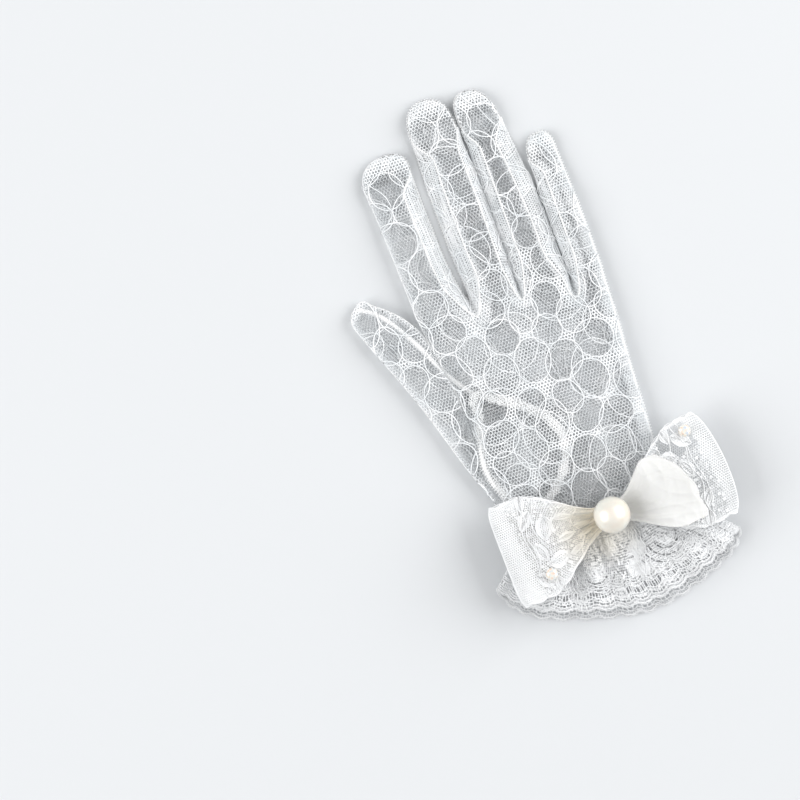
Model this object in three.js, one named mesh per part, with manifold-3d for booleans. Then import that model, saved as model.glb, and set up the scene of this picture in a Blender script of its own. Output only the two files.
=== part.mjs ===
// A short right-hand dress glove of white lace, lying flat with its back up.
// The hand is a back panel and a palm panel of patterned net, joined along the sides. Three narrow
// fourchettes close the sides of the fingers, and a set-in thumb, in a back and a front half, fills a
// bite in the palm panel. A gathered lace ruffle ends the wrist, and over its seam sits a bow: a lace
// loop and an organza loop to each side, a gathered knot and a round pearl. The left organza loop
// lies inside its lace loop, the right one on top of it. One cut stone sparkles on each lace loop.
// Millimetres, +Y from the wrist to the fingertips, +X to the little finger, +Z up from the table.
import * as THREE from "three";
import { mergeVertices } from "three/addons/utils/BufferGeometryUtils.js";
import Module from "manifold-3d";

const wasm = await Module();
wasm.setup();

// The tables below are in the pattern frame, whose origin is the middle of the palm. The glove's own
// origin is under the middle of its outline, at this point of the pattern frame.
const FOOTPRINT_CENTRE = { x: -1.1, y: 16.8 };

const CLOTH = 1.0; // wall thickness of every cloth piece
const TABLE = CLOTH / 2; // height of the mid wall of cloth that lies on the table
const SEAM_GAP = 0.4; // between two cloth edges that are sewn together
const SEAT_GAP = 0.3; // between a piece and what carries it

// Outline of the palm from the wrist to the forks of the fingers.
const PALM_ROWS = [
  { y: -46, left: -25.5, right: 31.0, height: 8.0 },
  { y: -37, left: -27.6, right: 32.2, height: 8.2 },
  { y: -27, left: -29.1, right: 33.1, height: 8.3 },
  { y: -12, left: -29.8, right: 34.1, height: 8.4 },
  { y: 4, left: -30.0, right: 34.9, height: 8.4 },
  { y: 20, left: -31.6, right: 36.1, height: 8.0 },
  { y: 34, left: -33.8, right: 36.6, height: 7.7 },
  { y: 46, left: -35.2, right: 37.2, height: 7.2 },
];

// Each finger's outline, seen from above, as sections from its fork to the start of its round tip.
// lean is the plan width that the fourchette takes on each side, and is 0 on an outer side.
// narrowing is how much of its width the tip loses by its end: 1 is a full round.
const FINGERS = [
  {
    name: "index", fork: { left: 46, right: 46 }, lean: { left: 0, right: 5.4 },
    tip: { x: -26.4, y: 107.4 }, narrowing: 0.78, height: 7.2, tipHeight: 5.2,
    sections: [
      { y: 46, left: -35.2, right: -15.3 },
      { y: 58, left: -35.5, right: -17.2 },
      { y: 78, left: -36.2, right: -18.2 },
      { y: 99, left: -37.2, right: -18.6 },
    ],
  },
  {
    name: "middle", fork: { left: 46, right: 46 }, lean: { left: 5.6, right: 2.4 },
    tip: { x: -5.2, y: 122.0 }, narrowing: 0.84, height: 7.2, tipHeight: 5.2,
    sections: [
      { y: 46, left: -13.2, right: 4.0 },
      { y: 60, left: -14.2, right: 4.1 },
      { y: 86, left: -14.5, right: 4.1 },
      { y: 109, left: -13.9, right: 3.6 },
    ],
  },
  {
    name: "ring", fork: { left: 46, right: 40 }, lean: { left: 4.0, right: 5.6 },
    tip: { x: 11.2, y: 120.0 }, narrowing: 0.84, height: 7.2, tipHeight: 5.2,
    sections: [
      { y: 46, left: 5.6, right: 23.9 },
      { y: 65, left: 5.6, right: 24.0 },
      { y: 86, left: 5.6, right: 22.6 },
      { y: 107, left: 5.6, right: 20.4 },
    ],
  },
  {
    name: "little", fork: { left: 40, right: 40 }, lean: { left: 3.6, right: 0 },
    tip: { x: 31.4, y: 96.0 }, narrowing: 0.78, height: 7.2, tipHeight: 5.0,
    sections: [
      { y: 40, left: 25.5, right: 37.1 },
      { y: 56, left: 25.4, right: 37.1 },
      { y: 73, left: 25.4, right: 36.7 },
      { y: 88, left: 25.6, right: 36.1 },
    ],
  },
];

const BACK_FORK_DROP = 7.5; // how much lower the back panel's forks lie than the palm panel's
const FORK_SHARE = 0.3; // share of a fourchette's lean at the very fork
const FORK_RUN = 16; // length over which the lean grows to its whole
const CLOSING_SHARE = 0.3; // share of a finger's length over which its fourchettes close at the tip
const SHUTTING_SHARE = 0.5; // share of that closing over which the two panels come together
const THINNING_SHARE = 0.5; // share of a finger's length over which it thins to its tip's height
const SEAM_SHARE = 0.44; // height of the hand's side seam, of the panels' height there
const SIDE_ROUND = 5.0; // plan width over which a panel rounds down to its side seam
const SIDE_POWER = 2.3; // 2 is an ellipse, more is squarer

// Shares of a finger's width at which its sheets have points: closer together on an outer side.
const EVEN_SHARES = [0, 0.16, 0.33, 0.5, 0.67, 0.84, 1];
const LEFT_SHARES = [0, 0.025, 0.09, 0.22, 0.46, 0.74, 1];
const RIGHT_SHARES = LEFT_SHARES.map((share) => 1 - share).reverse();
// Round tips: rows at these shares of their length, and how far their corners drop back.
const TIP = { steps: [0.4, 0.75, 1], cornerDrop: 0.3 };

// Fourchettes: places up a finger, and shares of the way round the fork.
const FOURCHETTE_PLACES = [0.01, 0.1, 0.26, 0.48, 0.7, 0.9];
const FOURCHETTE_DROP_SHARE = 0.25; // share of the finger over which the back panel's fork rises
const FORK_SHARES = [0.33, 0.67];
const FORK_SAG = new THREE.Vector3(0, -0.5, 0);

// The thumb's rings run from its outer edge to its inner edge.
const THUMB_RINGS = [
  { outerX: -31.0, outerY: -31.0, innerX: -31.9, innerY: 7.0, height: 6.4 },
  { outerX: -33.6, outerY: -23.2, innerX: -32.4, innerY: 8.2, height: 7.2 },
  { outerX: -36.6, outerY: -15.0, innerX: -33.0, innerY: 15.5, height: 7.6 },
  { outerX: -39.9, outerY: -4.0, innerX: -34.3, innerY: 24.5, height: 7.6 },
  { outerX: -43.4, outerY: 8.0, innerX: -35.6, innerY: 33.0, height: 7.4 },
  { outerX: -47.4, outerY: 20.0, innerX: -36.8, innerY: 40.5, height: 7.2 },
  { outerX: -51.8, outerY: 31.6, innerX: -40.4, innerY: 47.4, height: 7.0 },
  { outerX: -55.8, outerY: 42.0, innerX: -45.2, innerY: 52.6, height: 6.6 },
  { outerX: -58.4, outerY: 49.2, innerX: -49.8, innerY: 56.2, height: 6.0 },
];
const THUMB_TIP = { x: -56.0, y: 57.2, height: 5.0, narrowing: 0.8 };
const THUMB_COLUMNS = 10; // faces across each sheet
const THUMB_POWER = 0.75; // 1 is an ellipse, less is squarer

// The hole that the set-in thumb fills in the palm panel: an oval that leans to the thumb's side and
// runs out over the panel's edge. Lengths are half axes.
const THUMB_HOLE = { x: -15.0, y: -12.0, across: 15.5, along: 22.0, turn: THREE.MathUtils.degToRad(20) };
const RIM_POINTS = 14; // along the oval's cut edge
// Beside the hole the back panel's edge is lifted, so that the way into the thumb is open.
const THUMB_PASS = { from: -30, to: 8, height: 5.7 };

// The ruffle's hem from the thumb's side to the little finger's side, seen from above.
const HEM_POINTS = [
  { x: -42.2, y: -61.5 },
  { x: -38.2, y: -70.0 },
  { x: -29.5, y: -77.4 },
  { x: -15.0, y: -83.0 },
  { x: 0.0, y: -87.2 },
  { x: 13.0, y: -88.8 },
  { x: 26.5, y: -86.4 },
  { x: 39.5, y: -82.0 },
  { x: 49.0, y: -77.0 },
  { x: 53.2, y: -71.0 },
];
const RUFFLE = {
  columns: 48, // per layer, upper and lower
  rows: 4,
  flutes: 8, // waves across one layer at the hem
  height: 8.0, // of the ring at its seam, between the outsides of its layers
  rise: 1.2, // how much higher the upper layer's mean line lies at the hem
  upperWave: 1.4,
  lowerWave: 0.5,
  upperShare: 0.91, // length of the upper layer, of the lower layer's
  spread: 0.7, // share of the fall at which the flutes have their full depth
  sidePower: 7, // how late the layers close towards the sides
};

// The bow's knot stands over the wrist seam, and everything else of the bow is set out from it.
const KNOT = { x: 8.4, y: -48.9, across: 4.2, along: 6.4, high: 4.2, power: 0.72, sides: 16, rings: 10 };
KNOT.z = PALM_ROWS[0].height + SEAT_GAP + KNOT.high;
const PEARL = { radius: 7.0, sides: 20, rings: 12 };

// A loop is a strip that leaves the knot, folds over at its far end and comes back underneath.
// end is the middle of the fold, and corner is half of the fold as a vector in plan. rootZ and
// rootRise place the two layers at the knot, bottom and top at the fold. crown is how far the upper
// layer swells between them, and belly how far the lower layer follows what lies under it.
const LOOPS = {
  lace_loop_left: {
    side: -1, end: { x: -33.2, y: -51.0 }, corner: { x: -1.2, y: 20.2 },
    rootZ: 12.6, rootRise: 3.1, bottom: 11.0, top: 18.6, crown: 2.0, belly: 0,
  },
  organza_loop_left: {
    side: -1, end: { x: -28.0, y: -51.0 }, corner: { x: -0.8, y: 15.6 },
    rootZ: 12.6, rootRise: 1.3, bottom: 12.4, top: 17.2, crown: 1.7, belly: 0,
  },
  lace_loop_right: {
    side: 1, end: { x: 52.2, y: -43.7 }, corner: { x: -2.4, y: 21.0 },
    rootZ: 10.9, rootRise: 0.95, bottom: 11.0, top: 15.6, crown: 1.6, belly: 0,
  },
  organza_loop_right: {
    side: 1, end: { x: 37.0, y: -47.3 }, corner: { x: -5.0, y: 14.4 },
    rootZ: 14.7, rootRise: 1.1, bottom: 18.3, top: 23.6, crown: 1.2, belly: 0.6,
  },
};
const LOOP_SHAPE = {
  steps: 7, // from the knot to the fold, on each layer
  foldSteps: 3,
  columns: 8,
  rootHalf: 4.4, // half of a loop's width at the knot
  widening: 1.25, // how soon the strip reaches its full width, against its length
  wideningPower: 0.8,
  parting: 1.6, // how soon its two layers lie fully apart
  edgeFall: 0.25, // how much lower the swell is at the strip's edges
  gathers: 3, // waves across a loop at the knot
  gatherDepth: 0.5,
  gatherFade: 1.7, // how soon the waves fade out
};

// One cut stone lies on each lace loop.
const STONES = {
  stone_left: { x: -20.3, y: -62.2, loop: "lace_loop_left" },
  stone_right: { x: 45.0, y: -28.6, loop: "lace_loop_right" },
};
const STONE = { radius: 2.4, backRadius: 2.26, tableRadius: 1.3, girdle: 0.4, height: 1.6, facets: 10 };

// Materials
const material = (color, roughness, metalness = 0) =>
  new THREE.MeshStandardMaterial({ color, roughness, metalness });
const NET = material("#eef0f2", 0.85);
const TRIM_LACE = material("#f4f4f4", 0.85);
const ORGANZA = material("#f3f2ee", 0.45);
const PEARL_COAT = material("#f4f1ea", 0.18);
const CRYSTAL = material("#f2ead2", 0.08);

// Numbers between two numbers, and along a table's rows.
const lerp = (a, b, t) => a + (b - a) * t;
const smooth = (t) => {
  const s = Math.min(Math.max(t, 0), 1);
  return s * s * (3 - 2 * s);
};
// The value of a column at a place along a table that is sorted by its "by" column.
function at(rows, by, column, place) {
  let i = 0;
  while (i < rows.length - 2 && place > rows[i + 1][by]) i += 1;
  const t = (place - rows[i][by]) / (rows[i + 1][by] - rows[i][by]);
  return lerp(rows[i][column], rows[i + 1][column], t);
}

// A cloth piece: a sheet of four-sided faces given a wall of even thickness, half to each side. At
// the points of levelPoints, which lie on a side seam, the wall stands square to the table.
function clothFrom(points, quads, levelPoints = new Set()) {
  const normals = points.map(() => new THREE.Vector3());
  const faces = [];
  for (const [a, b, c, d] of quads) {
    const across = new THREE.Vector3().subVectors(points[c], points[a]);
    const along = new THREE.Vector3().subVectors(points[d], points[b]);
    const normal = across.cross(along);
    for (const corner of [a, b, c, d]) normals[corner].add(normal);
    faces.push([a, b, c], [a, c, d]);
  }
  const count = points.length;
  const positions = [];
  for (const side of [1, -1]) {
    points.forEach((point, i) => {
      const normal = normals[i].clone();
      if (levelPoints.has(point)) normal.z = 0;
      const offset = normal.normalize().multiplyScalar((side * CLOTH) / 2);
      positions.push(...point.clone().add(offset).toArray());
    });
  }
  const borders = new Map();
  for (const face of faces) {
    face.forEach((from, i) => {
      const to = face[(i + 1) % 3];
      if (borders.has(`${to},${from}`)) borders.delete(`${to},${from}`);
      else borders.set(`${from},${to}`, [from, to]);
    });
  }
  const index = [];
  for (const [a, b, c] of faces) index.push(a, b, c, count + a, count + c, count + b);
  for (const [from, to] of borders.values()) {
    index.push(to, from, count + from, to, count + from, count + to);
  }
  const geometry = new THREE.BufferGeometry();
  geometry.setAttribute("position", new THREE.Float32BufferAttribute(positions, 3));
  geometry.setIndex(index);
  return geometry;
}

// Quads of a grid whose points are stored row by row. wrap joins the last column to the first.
function gridQuads(rows, columns, wrap = false) {
  const perRow = wrap ? columns : columns + 1;
  const quads = [];
  for (let i = 0; i < rows; i += 1) {
    for (let j = 0; j < columns; j += 1) {
      const next = (j + 1) % perRow;
      quads.push([
        i * perRow + j,
        i * perRow + next,
        (i + 1) * perRow + next,
        (i + 1) * perRow + j,
      ]);
    }
  }
  return quads;
}

// Booleans
function solidOf(geometry) {
  const bare = new THREE.BufferGeometry();
  bare.setAttribute("position", geometry.getAttribute("position"));
  bare.setIndex(geometry.getIndex());
  const merged = mergeVertices(bare, 1e-4);
  return new wasm.Manifold(
    new wasm.Mesh({
      numProp: 3,
      vertProperties: merged.getAttribute("position").array,
      triVerts: new Uint32Array(merged.getIndex().array),
    }),
  );
}
function geometryOf(solid) {
  const mesh = solid.getMesh();
  const geometry = new THREE.BufferGeometry();
  geometry.setAttribute("position", new THREE.BufferAttribute(mesh.vertProperties, 3));
  geometry.setIndex(new THREE.BufferAttribute(mesh.triVerts, 1));
  return geometry;
}

// Height of the mid wall at a distance in from a side seam: a quarter of a superellipse, from the
// seam to the flat of the panel.
function roundedSide(distance, height, face) {
  const share = 1 - Math.min(Math.max(distance / SIDE_ROUND, 0), 1);
  const rise = (1 - share ** SIDE_POWER) ** (1 / SIDE_POWER);
  const seam = height * SEAM_SHARE;
  return face === "back"
    ? lerp(seam + SEAM_GAP / 2, height - TABLE, rise)
    : lerp(seam - SEAM_GAP / 2, TABLE, rise);
}
const flatOf = (height, face) => (face === "back" ? height - TABLE : TABLE);

// Shares of a finger's width at which its sheets have points: closer together on an outer side.
function sharesOf(finger) {
  if (finger.lean.left === 0) return LEFT_SHARES;
  return finger.lean.right === 0 ? RIGHT_SHARES : EVEN_SHARES;
}

// A finger's section at a place up the hand, for one face. On the back panel the fork sides come in
// by the fourchettes' lean, which grows from the fork and fades out towards the round tip. open is 1
// where a fourchette holds the two panels apart and 0 where they meet.
function fingerSection(finger, y, face) {
  const first = finger.sections[0].y;
  const last = finger.sections.at(-1).y;
  const grow = lerp(FORK_SHARE, 1, smooth((y - first + BACK_FORK_DROP) / FORK_RUN));
  const closing = smooth((last - y) / (last - first) / CLOSING_SHARE);
  const leanShare = face === "back" ? grow * closing : 0;
  return {
    left: at(finger.sections, "y", "left", y) + finger.lean.left * leanShare,
    right: at(finger.sections, "y", "right", y) - finger.lean.right * leanShare,
    height: lerp(finger.tipHeight, finger.height, smooth((last - y) / (last - first) / THINNING_SHARE)),
    open: smooth(closing / SHUTTING_SHARE),
  };
}

// Height of a panel's mid wall at a point of a finger: round at an outer side, and at a fork side
// flat while the fourchette is open, closing to the seam where it ends.
function fingerHeight(finger, section, x, face) {
  let z = flatOf(section.height, face);
  for (const side of ["left", "right"]) {
    const round = roundedSide(Math.abs(x - section[side]), section.height, face);
    const open = finger.lean[side] === 0 ? 0 : section.open;
    const wanted = lerp(round, flatOf(section.height, face), open);
    z = face === "back" ? Math.min(z, wanted) : Math.max(z, wanted);
  }
  return z;
}

// Soft gathers that the wrist seam draws into the back of the hand, deepest at the seam.
const WRIST_GATHER = { depth: 0.3, waves: 5, reach: 0.3 };
function wristGather(across, up) {
  const { depth, waves, reach } = WRIST_GATHER;
  const fade = Math.max(0, 1 - up / reach) ** 2 * Math.sin(Math.PI * across);
  return depth * fade * (1 - Math.cos(2 * Math.PI * waves * across));
}

// The hand's panels are comb-shaped sheets: a palm grid whose last row feeds four finger grids.
function handPanel(face) {
  const drop = face === "back" ? BACK_FORK_DROP : 0;
  const knuckles = [];
  for (const finger of FINGERS) {
    for (const share of sharesOf(finger)) {
      const y = lerp(finger.fork.left, finger.fork.right, share);
      const section = fingerSection(finger, y - drop, face);
      knuckles.push({ x: lerp(section.left, section.right, share), y: y - drop });
    }
  }
  const columns = knuckles.length - 1;
  const points = [];
  const levelPoints = new Set();
  const wrist = PALM_ROWS[0].y;
  const top = PALM_ROWS.at(-1).y;
  const rows = PALM_ROWS.length - 1;
  PALM_ROWS.forEach((row, i) => {
    knuckles.forEach((knuckle, j) => {
      const up = (row.y - wrist) / (top - wrist);
      const y = lerp(wrist, knuckle.y, up);
      const left = i === rows ? knuckles[0].x : at(PALM_ROWS, "y", "left", y);
      const right = i === rows ? knuckles[columns].x : at(PALM_ROWS, "y", "right", y);
      const height = at(PALM_ROWS, "y", "height", y);
      const across = (knuckle.x - knuckles[0].x) / (knuckles[columns].x - knuckles[0].x);
      const x = lerp(left, right, across);
      const sides = [roundedSide(x - left, height, face), roundedSide(right - x, height, face)];
      const z = face === "back" ? Math.min(...sides) - wristGather(across, up) : Math.max(...sides);
      const lifted = face === "back" && x < 0 && y > THUMB_PASS.from && y < THUMB_PASS.to;
      const point = new THREE.Vector3(x, y, lifted ? Math.max(z, THUMB_PASS.height) : z);
      points.push(point);
      if (j === 0 || j === columns) levelPoints.add(point);
    });
  });
  const quads = gridQuads(rows, columns);

  // Fingers: each one's first row is its stretch of the palm's last row.
  let column = 0;
  for (const finger of FINGERS) {
    const shares = sharesOf(finger);
    let below = shares.map((_, j) => rows * (columns + 1) + column + j);
    for (const row of fingerRows(finger, face)) {
      const here = row.map(({ point, level }) => {
        if (level) levelPoints.add(point);
        return points.push(point) - 1;
      });
      for (let j = 0; j < shares.length - 1; j += 1) {
        quads.push([below[j], below[j + 1], here[j + 1], here[j]]);
      }
      below = here;
    }
    column += shares.length;
  }
  return clothFrom(points, quads, levelPoints);
}

// Rows of points up a finger: the table's sections with one row between each two, then a round tip
// whose edge is drawn down to the seam. level marks the points on a side seam.
function fingerRows(finger, face) {
  const places = face === "back" ? [finger.sections[0].y] : [];
  finger.sections.slice(1).forEach((section, i) => {
    places.push((finger.sections[i].y + section.y) / 2, section.y);
  });
  const rows = places.map((y) => {
    const section = fingerSection(finger, y, face);
    return sharesOf(finger).map((share) => {
      const x = lerp(section.left, section.right, share);
      const seam = (share === 0 && finger.lean.left === 0) || (share === 1 && finger.lean.right === 0);
      const point = new THREE.Vector3(x, y, fingerHeight(finger, section, x, face));
      return { point, level: seam || (section.open === 0 && (share === 0 || share === 1)) };
    });
  });
  const last = finger.sections.at(-1).y;
  const base = fingerSection(finger, last, face);
  const half = (base.right - base.left) / 2;
  const middle = (base.left + base.right) / 2;
  for (const step of TIP.steps) {
    const width = Math.sqrt(1 - (finger.narrowing * step) ** 2);
    rows.push(
      sharesOf(finger).map((share) => {
        const u = 2 * share - 1;
        const x = lerp(middle, finger.tip.x, step) + half * width * u;
        const y = last + (finger.tip.y - last) * step * (1 - TIP.cornerDrop * u * u);
        const reach = SIDE_ROUND * Math.sqrt(Math.max(0, 1 - Math.max(step, u * u) ** 2));
        const point = new THREE.Vector3(x, y, roundedSide(reach, finger.tipHeight, face));
        return { point, level: reach === 0 };
      }),
    );
  }
  return rows;
}

// The rim of the thumb's hole from the panel's edge round to the edge again, pulled in by inset.
function holeRim(inset, edgeX) {
  const { x, y, across, along, turn } = THUMB_HOLE;
  const reachX = (along - inset) * Math.sin(turn);
  const reachY = (along - inset) * Math.cos(turn);
  const rim = new THREE.Path();
  rim.moveTo(edgeX, y + reachY);
  rim.lineTo(x - reachX, y + reachY);
  rim.absellipse(x, y, across - inset, along - inset, Math.PI / 2, -Math.PI / 2, true, turn);
  rim.lineTo(edgeX, y - reachY);
  return rim;
}

function palmPanel() {
  const outline = new THREE.Shape(holeRim(0, -2 * THUMB_HOLE.along).getPoints(RIM_POINTS));
  const depth = 2 * PALM_ROWS[0].height;
  const prism = new THREE.ExtrudeGeometry(outline, { depth, bevelEnabled: false });
  prism.translate(0, 0, -depth / 2);
  return geometryOf(solidOf(handPanel("palm")).subtract(solidOf(prism)));
}

// A fourchette runs down one finger's side, round the fork and up the next finger's side. It stands
// on the palm panel's edge and leans in to the back panel's, clear of both by the seam gap.
function fourchetteSide(finger, side) {
  const first = finger.fork[side];
  const last = finger.sections.at(-1).y;
  return FOURCHETTE_PLACES.map((share) => {
    const y = lerp(first, last, share);
    const backY = y - BACK_FORK_DROP * smooth(1 - share / FOURCHETTE_DROP_SHARE);
    const palm = fingerSection(finger, y, "palm");
    const back = fingerSection(finger, backY, "back");
    return {
      foot: new THREE.Vector3(palm[side], y, fingerHeight(finger, palm, palm[side], "palm")),
      head: new THREE.Vector3(back[side], backY, fingerHeight(finger, back, back[side], "back")),
    };
  });
}
function fourchette(leftFinger, rightFinger) {
  const down = fourchetteSide(leftFinger, "right").reverse();
  const up = fourchetteSide(rightFinger, "left");
  const forkRound = FORK_SHARES.map((share) => ({
    foot: down.at(-1).foot.clone().lerp(up[0].foot, share).add(FORK_SAG),
    head: down.at(-1).head.clone().lerp(up[0].head, share).add(FORK_SAG),
  }));
  const stations = [...down, ...forkRound, ...up];
  const points = [];
  for (const { foot, head } of stations) {
    const width = foot.distanceTo(head);
    const steep = (head.z - foot.z) / width;
    const shallow = Math.sqrt(1 - steep ** 2);
    const footHold = ((CLOTH / 2) * (1 + shallow) + SEAM_GAP) / steep / width;
    const headHold = (CLOTH / 2 + SEAM_GAP) / width;
    for (const share of [footHold, 0.5, 1 - headHold]) points.push(foot.clone().lerp(head, share));
  }
  return clothFrom(points, gridQuads(stations.length - 1, 2));
}

// The thumb is a back and a front sheet that meet along its outer and its inner edge. The back
// sheet's mouth lies against the hand's side, and the front sheet reaches under the hand to the rim
// of the hole.
function thumbPanel(face) {
  const side = face === "back" ? 1 : -1;
  const bulge = (value) => Math.sign(value) * Math.abs(value) ** THUMB_POWER;
  const levelPoints = new Set();
  const rowAt = ({ outerX, outerY, innerX, innerY, height }, step = 0) => {
    const outer = new THREE.Vector3(outerX, outerY, 0);
    const inner = new THREE.Vector3(innerX, innerY, 0);
    return Array.from({ length: THUMB_COLUMNS + 1 }, (_, j) => {
      const angle = (Math.PI * j) / THUMB_COLUMNS;
      const point = outer.clone().lerp(inner, (1 - bulge(Math.cos(angle))) / 2);
      const rise = Math.min(bulge(Math.sin(angle)), Math.sqrt(1 - step ** 2));
      if (rise < 1e-6) levelPoints.add(point);
      return point.setZ(height / 2 + side * lerp(SEAM_GAP / 2, height / 2 - TABLE, rise));
    });
  };
  const rows = THUMB_RINGS.map((ring) => rowAt(ring));

  // Round tip: rows that narrow towards its middle, with their corners drawn back.
  const last = THUMB_RINGS.at(-1);
  const centre = new THREE.Vector2(last.outerX + last.innerX, last.outerY + last.innerY).divideScalar(2);
  const half = new THREE.Vector2(last.innerX, last.innerY).sub(centre);
  const ahead = new THREE.Vector2(THUMB_TIP.x, THUMB_TIP.y).sub(centre);
  for (const step of TIP.steps) {
    const width = Math.sqrt(1 - (THUMB_TIP.narrowing * step) ** 2);
    const height = lerp(last.height, THUMB_TIP.height, step);
    const row = rowAt({ outerX: -1, outerY: 0, innerX: 1, innerY: 0, height }, step);
    rows.push(
      row.map((point) => {
        const u = point.x;
        const reach = step * (1 - TIP.cornerDrop * u * u);
        const place = centre.clone().addScaledVector(half, width * u).addScaledVector(ahead, reach);
        return point.setX(place.x).setY(place.y);
      }),
    );
  }
  if (face === "palm") {
    const edgeX = (THUMB_RINGS[0].outerX + THUMB_RINGS[0].innerX) / 2;
    const rim = holeRim(SEAM_GAP, edgeX).getSpacedPoints(THUMB_COLUMNS).reverse();
    for (let j = 1; j < THUMB_COLUMNS; j += 1) rows[0][j].set(rim[j].x, rim[j].y, TABLE);
  }
  const quads = gridQuads(rows.length - 1, THUMB_COLUMNS);
  return clothFrom(rows.flat(), quads, levelPoints);
}

// The ruffle is a ring of lace, wider at its hem than at its seam, so it falls in flutes. Its upper
// layer ends a little higher than the lower one.
function ruffle() {
  const hem = new THREE.CatmullRomCurve3(HEM_POINTS.map(({ x, y }) => new THREE.Vector3(x, y, 0)));
  const seamRow = PALM_ROWS[0];
  const perRing = 2 * RUFFLE.columns;
  const points = [];
  for (let i = 0; i <= RUFFLE.rows; i += 1) {
    const fall = i / RUFFLE.rows;
    for (let j = 0; j < perRing; j += 1) {
      const upper = j <= RUFFLE.columns;
      const across = upper ? j / RUFFLE.columns : 2 - j / RUFFLE.columns;
      const body = (1 - Math.abs(2 * across - 1) ** RUFFLE.sidePower) ** (1 / 2);
      const reach = upper ? fall * lerp(1, RUFFLE.upperShare, body) : fall;
      const point = new THREE.Vector3(lerp(seamRow.left, seamRow.right, across), seamRow.y - SEAM_GAP, 0);
      point.lerp(hem.getPoint(across), reach);
      const flare = smooth(fall / RUFFLE.spread) * body;
      const wave = Math.cos(2 * Math.PI * RUFFLE.flutes * across);
      const flat = upper ? RUFFLE.height - TABLE + RUFFLE.rise * fall : TABLE;
      const lift = upper ? RUFFLE.upperWave * flare * wave : RUFFLE.lowerWave * flare * (wave + 1);
      point.z = lerp(RUFFLE.height * SEAM_SHARE, flat, body) + lift;
      points.push(point);
    }
  }
  return clothFrom(points, gridQuads(RUFFLE.rows, perRing, true));
}

// A point of a loop's strip. along runs 0 to 1 from the knot to the fold, across -1 to 1 over the
// width, layer is 1 above and -1 below, and turn is how far round the fold the point is, 0 to 1.
function loopPoint(loop, along, across, layer, turn = 0) {
  const root = KNOT.x + loop.side * (KNOT.across + SEAT_GAP);
  const full = Math.hypot(loop.corner.x, loop.corner.y);
  const widened = smooth(along * LOOP_SHAPE.widening) ** LOOP_SHAPE.wideningPower;
  const half = lerp(LOOP_SHAPE.rootHalf, full, widened);
  const facing = new THREE.Vector3(loop.corner.x * along, loop.corner.y, 0).normalize();
  const point = new THREE.Vector3(lerp(root, loop.end.x, along), lerp(KNOT.y, loop.end.y, along), 0);
  point.addScaledVector(facing, half * across);
  const parted = smooth(along * LOOP_SHAPE.parting);
  const middle = lerp(loop.rootZ, (loop.top + loop.bottom) / 2, parted);
  const rise = lerp(loop.rootRise, (loop.top - loop.bottom) / 2, parted);
  const arch = Math.sin(Math.PI * along) * (1 - LOOP_SHAPE.edgeFall * across ** 2);
  const swell = (layer > 0 ? loop.crown : loop.belly) * arch;
  const gathered = 1 - smooth(along * LOOP_SHAPE.gatherFade);
  const ripple = Math.cos(Math.PI * LOOP_SHAPE.gathers * across) * gathered;
  point.x += loop.side * Math.sin(Math.PI * turn) * rise;
  point.z = middle + layer * rise * Math.cos(Math.PI * turn) + swell;
  point.z += LOOP_SHAPE.gatherDepth * ripple;
  return point;
}

function loopStrip(loop) {
  const { steps, foldSteps, columns } = LOOP_SHAPE;
  const stations = [];
  for (let i = 0; i <= steps; i += 1) stations.push({ along: i / steps, layer: 1, turn: 0 });
  for (let i = 1; i < foldSteps; i += 1) stations.push({ along: 1, layer: 1, turn: i / foldSteps });
  for (let i = steps; i >= 0; i -= 1) stations.push({ along: i / steps, layer: -1, turn: 0 });
  const points = [];
  for (const { along, layer, turn } of stations) {
    for (let j = 0; j <= columns; j += 1) {
      points.push(loopPoint(loop, along, (2 * j) / columns - 1, layer, turn));
    }
  }
  const quads = gridQuads(stations.length - 1, columns);
  if (loop.side < 0) quads.forEach((quad) => quad.reverse());
  return clothFrom(points, quads);
}

// The knot is a plump bundle of wound cloth, squarer than an egg.
function knot() {
  const geometry = new THREE.SphereGeometry(1, KNOT.sides, KNOT.rings);
  geometry.rotateX(Math.PI / 2);
  const bulge = (value) => Math.sign(value) * Math.abs(value) ** KNOT.power;
  const position = geometry.getAttribute("position");
  for (let i = 0; i < position.count; i += 1) {
    position.setXYZ(
      i,
      KNOT.x + KNOT.across * bulge(position.getX(i)),
      KNOT.y + KNOT.along * bulge(position.getY(i)),
      KNOT.z + KNOT.high * bulge(position.getZ(i)),
    );
  }
  return geometry;
}

function pearl() {
  const geometry = new THREE.SphereGeometry(PEARL.radius, PEARL.sides, PEARL.rings);
  geometry.rotateX(Math.PI / 2);
  geometry.translate(KNOT.x, KNOT.y, KNOT.z + KNOT.high + SEAT_GAP + PEARL.radius);
  return geometry;
}

// A cut stone: a flat back, a thin girdle, a ring of facets and a table.
function stone({ x, y, loop }) {
  const profile = [
    new THREE.Vector2(0, 0),
    new THREE.Vector2(STONE.backRadius, 0),
    new THREE.Vector2(STONE.radius, STONE.girdle),
    new THREE.Vector2(STONE.tableRadius, STONE.height),
    new THREE.Vector2(0, STONE.height),
  ];
  const geometry = new THREE.LatheGeometry(profile, STONE.facets);
  geometry.rotateX(Math.PI / 2);
  geometry.translate(x, y, loopTopAt(LOOPS[loop], x, y) + CLOTH / 2 + SEAT_GAP);
  return geometry;
}

// Highest point of a loop's upper layer under a stone at a place seen from above, found on a fine
// grid of places over the loop's outer part.
function loopTopAt(loop, x, y) {
  const [firstAlong, alongStep, acrossStep] = [0.3, 0.02, 0.05];
  let best = 0;
  for (let along = firstAlong; along <= 1; along += alongStep) {
    for (let across = -1; across <= 1; across += acrossStep) {
      const point = loopPoint(loop, along, across, 1);
      if (Math.hypot(point.x - x, point.y - y) < STONE.radius) best = Math.max(best, point.z);
    }
  }
  return best;
}

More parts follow.
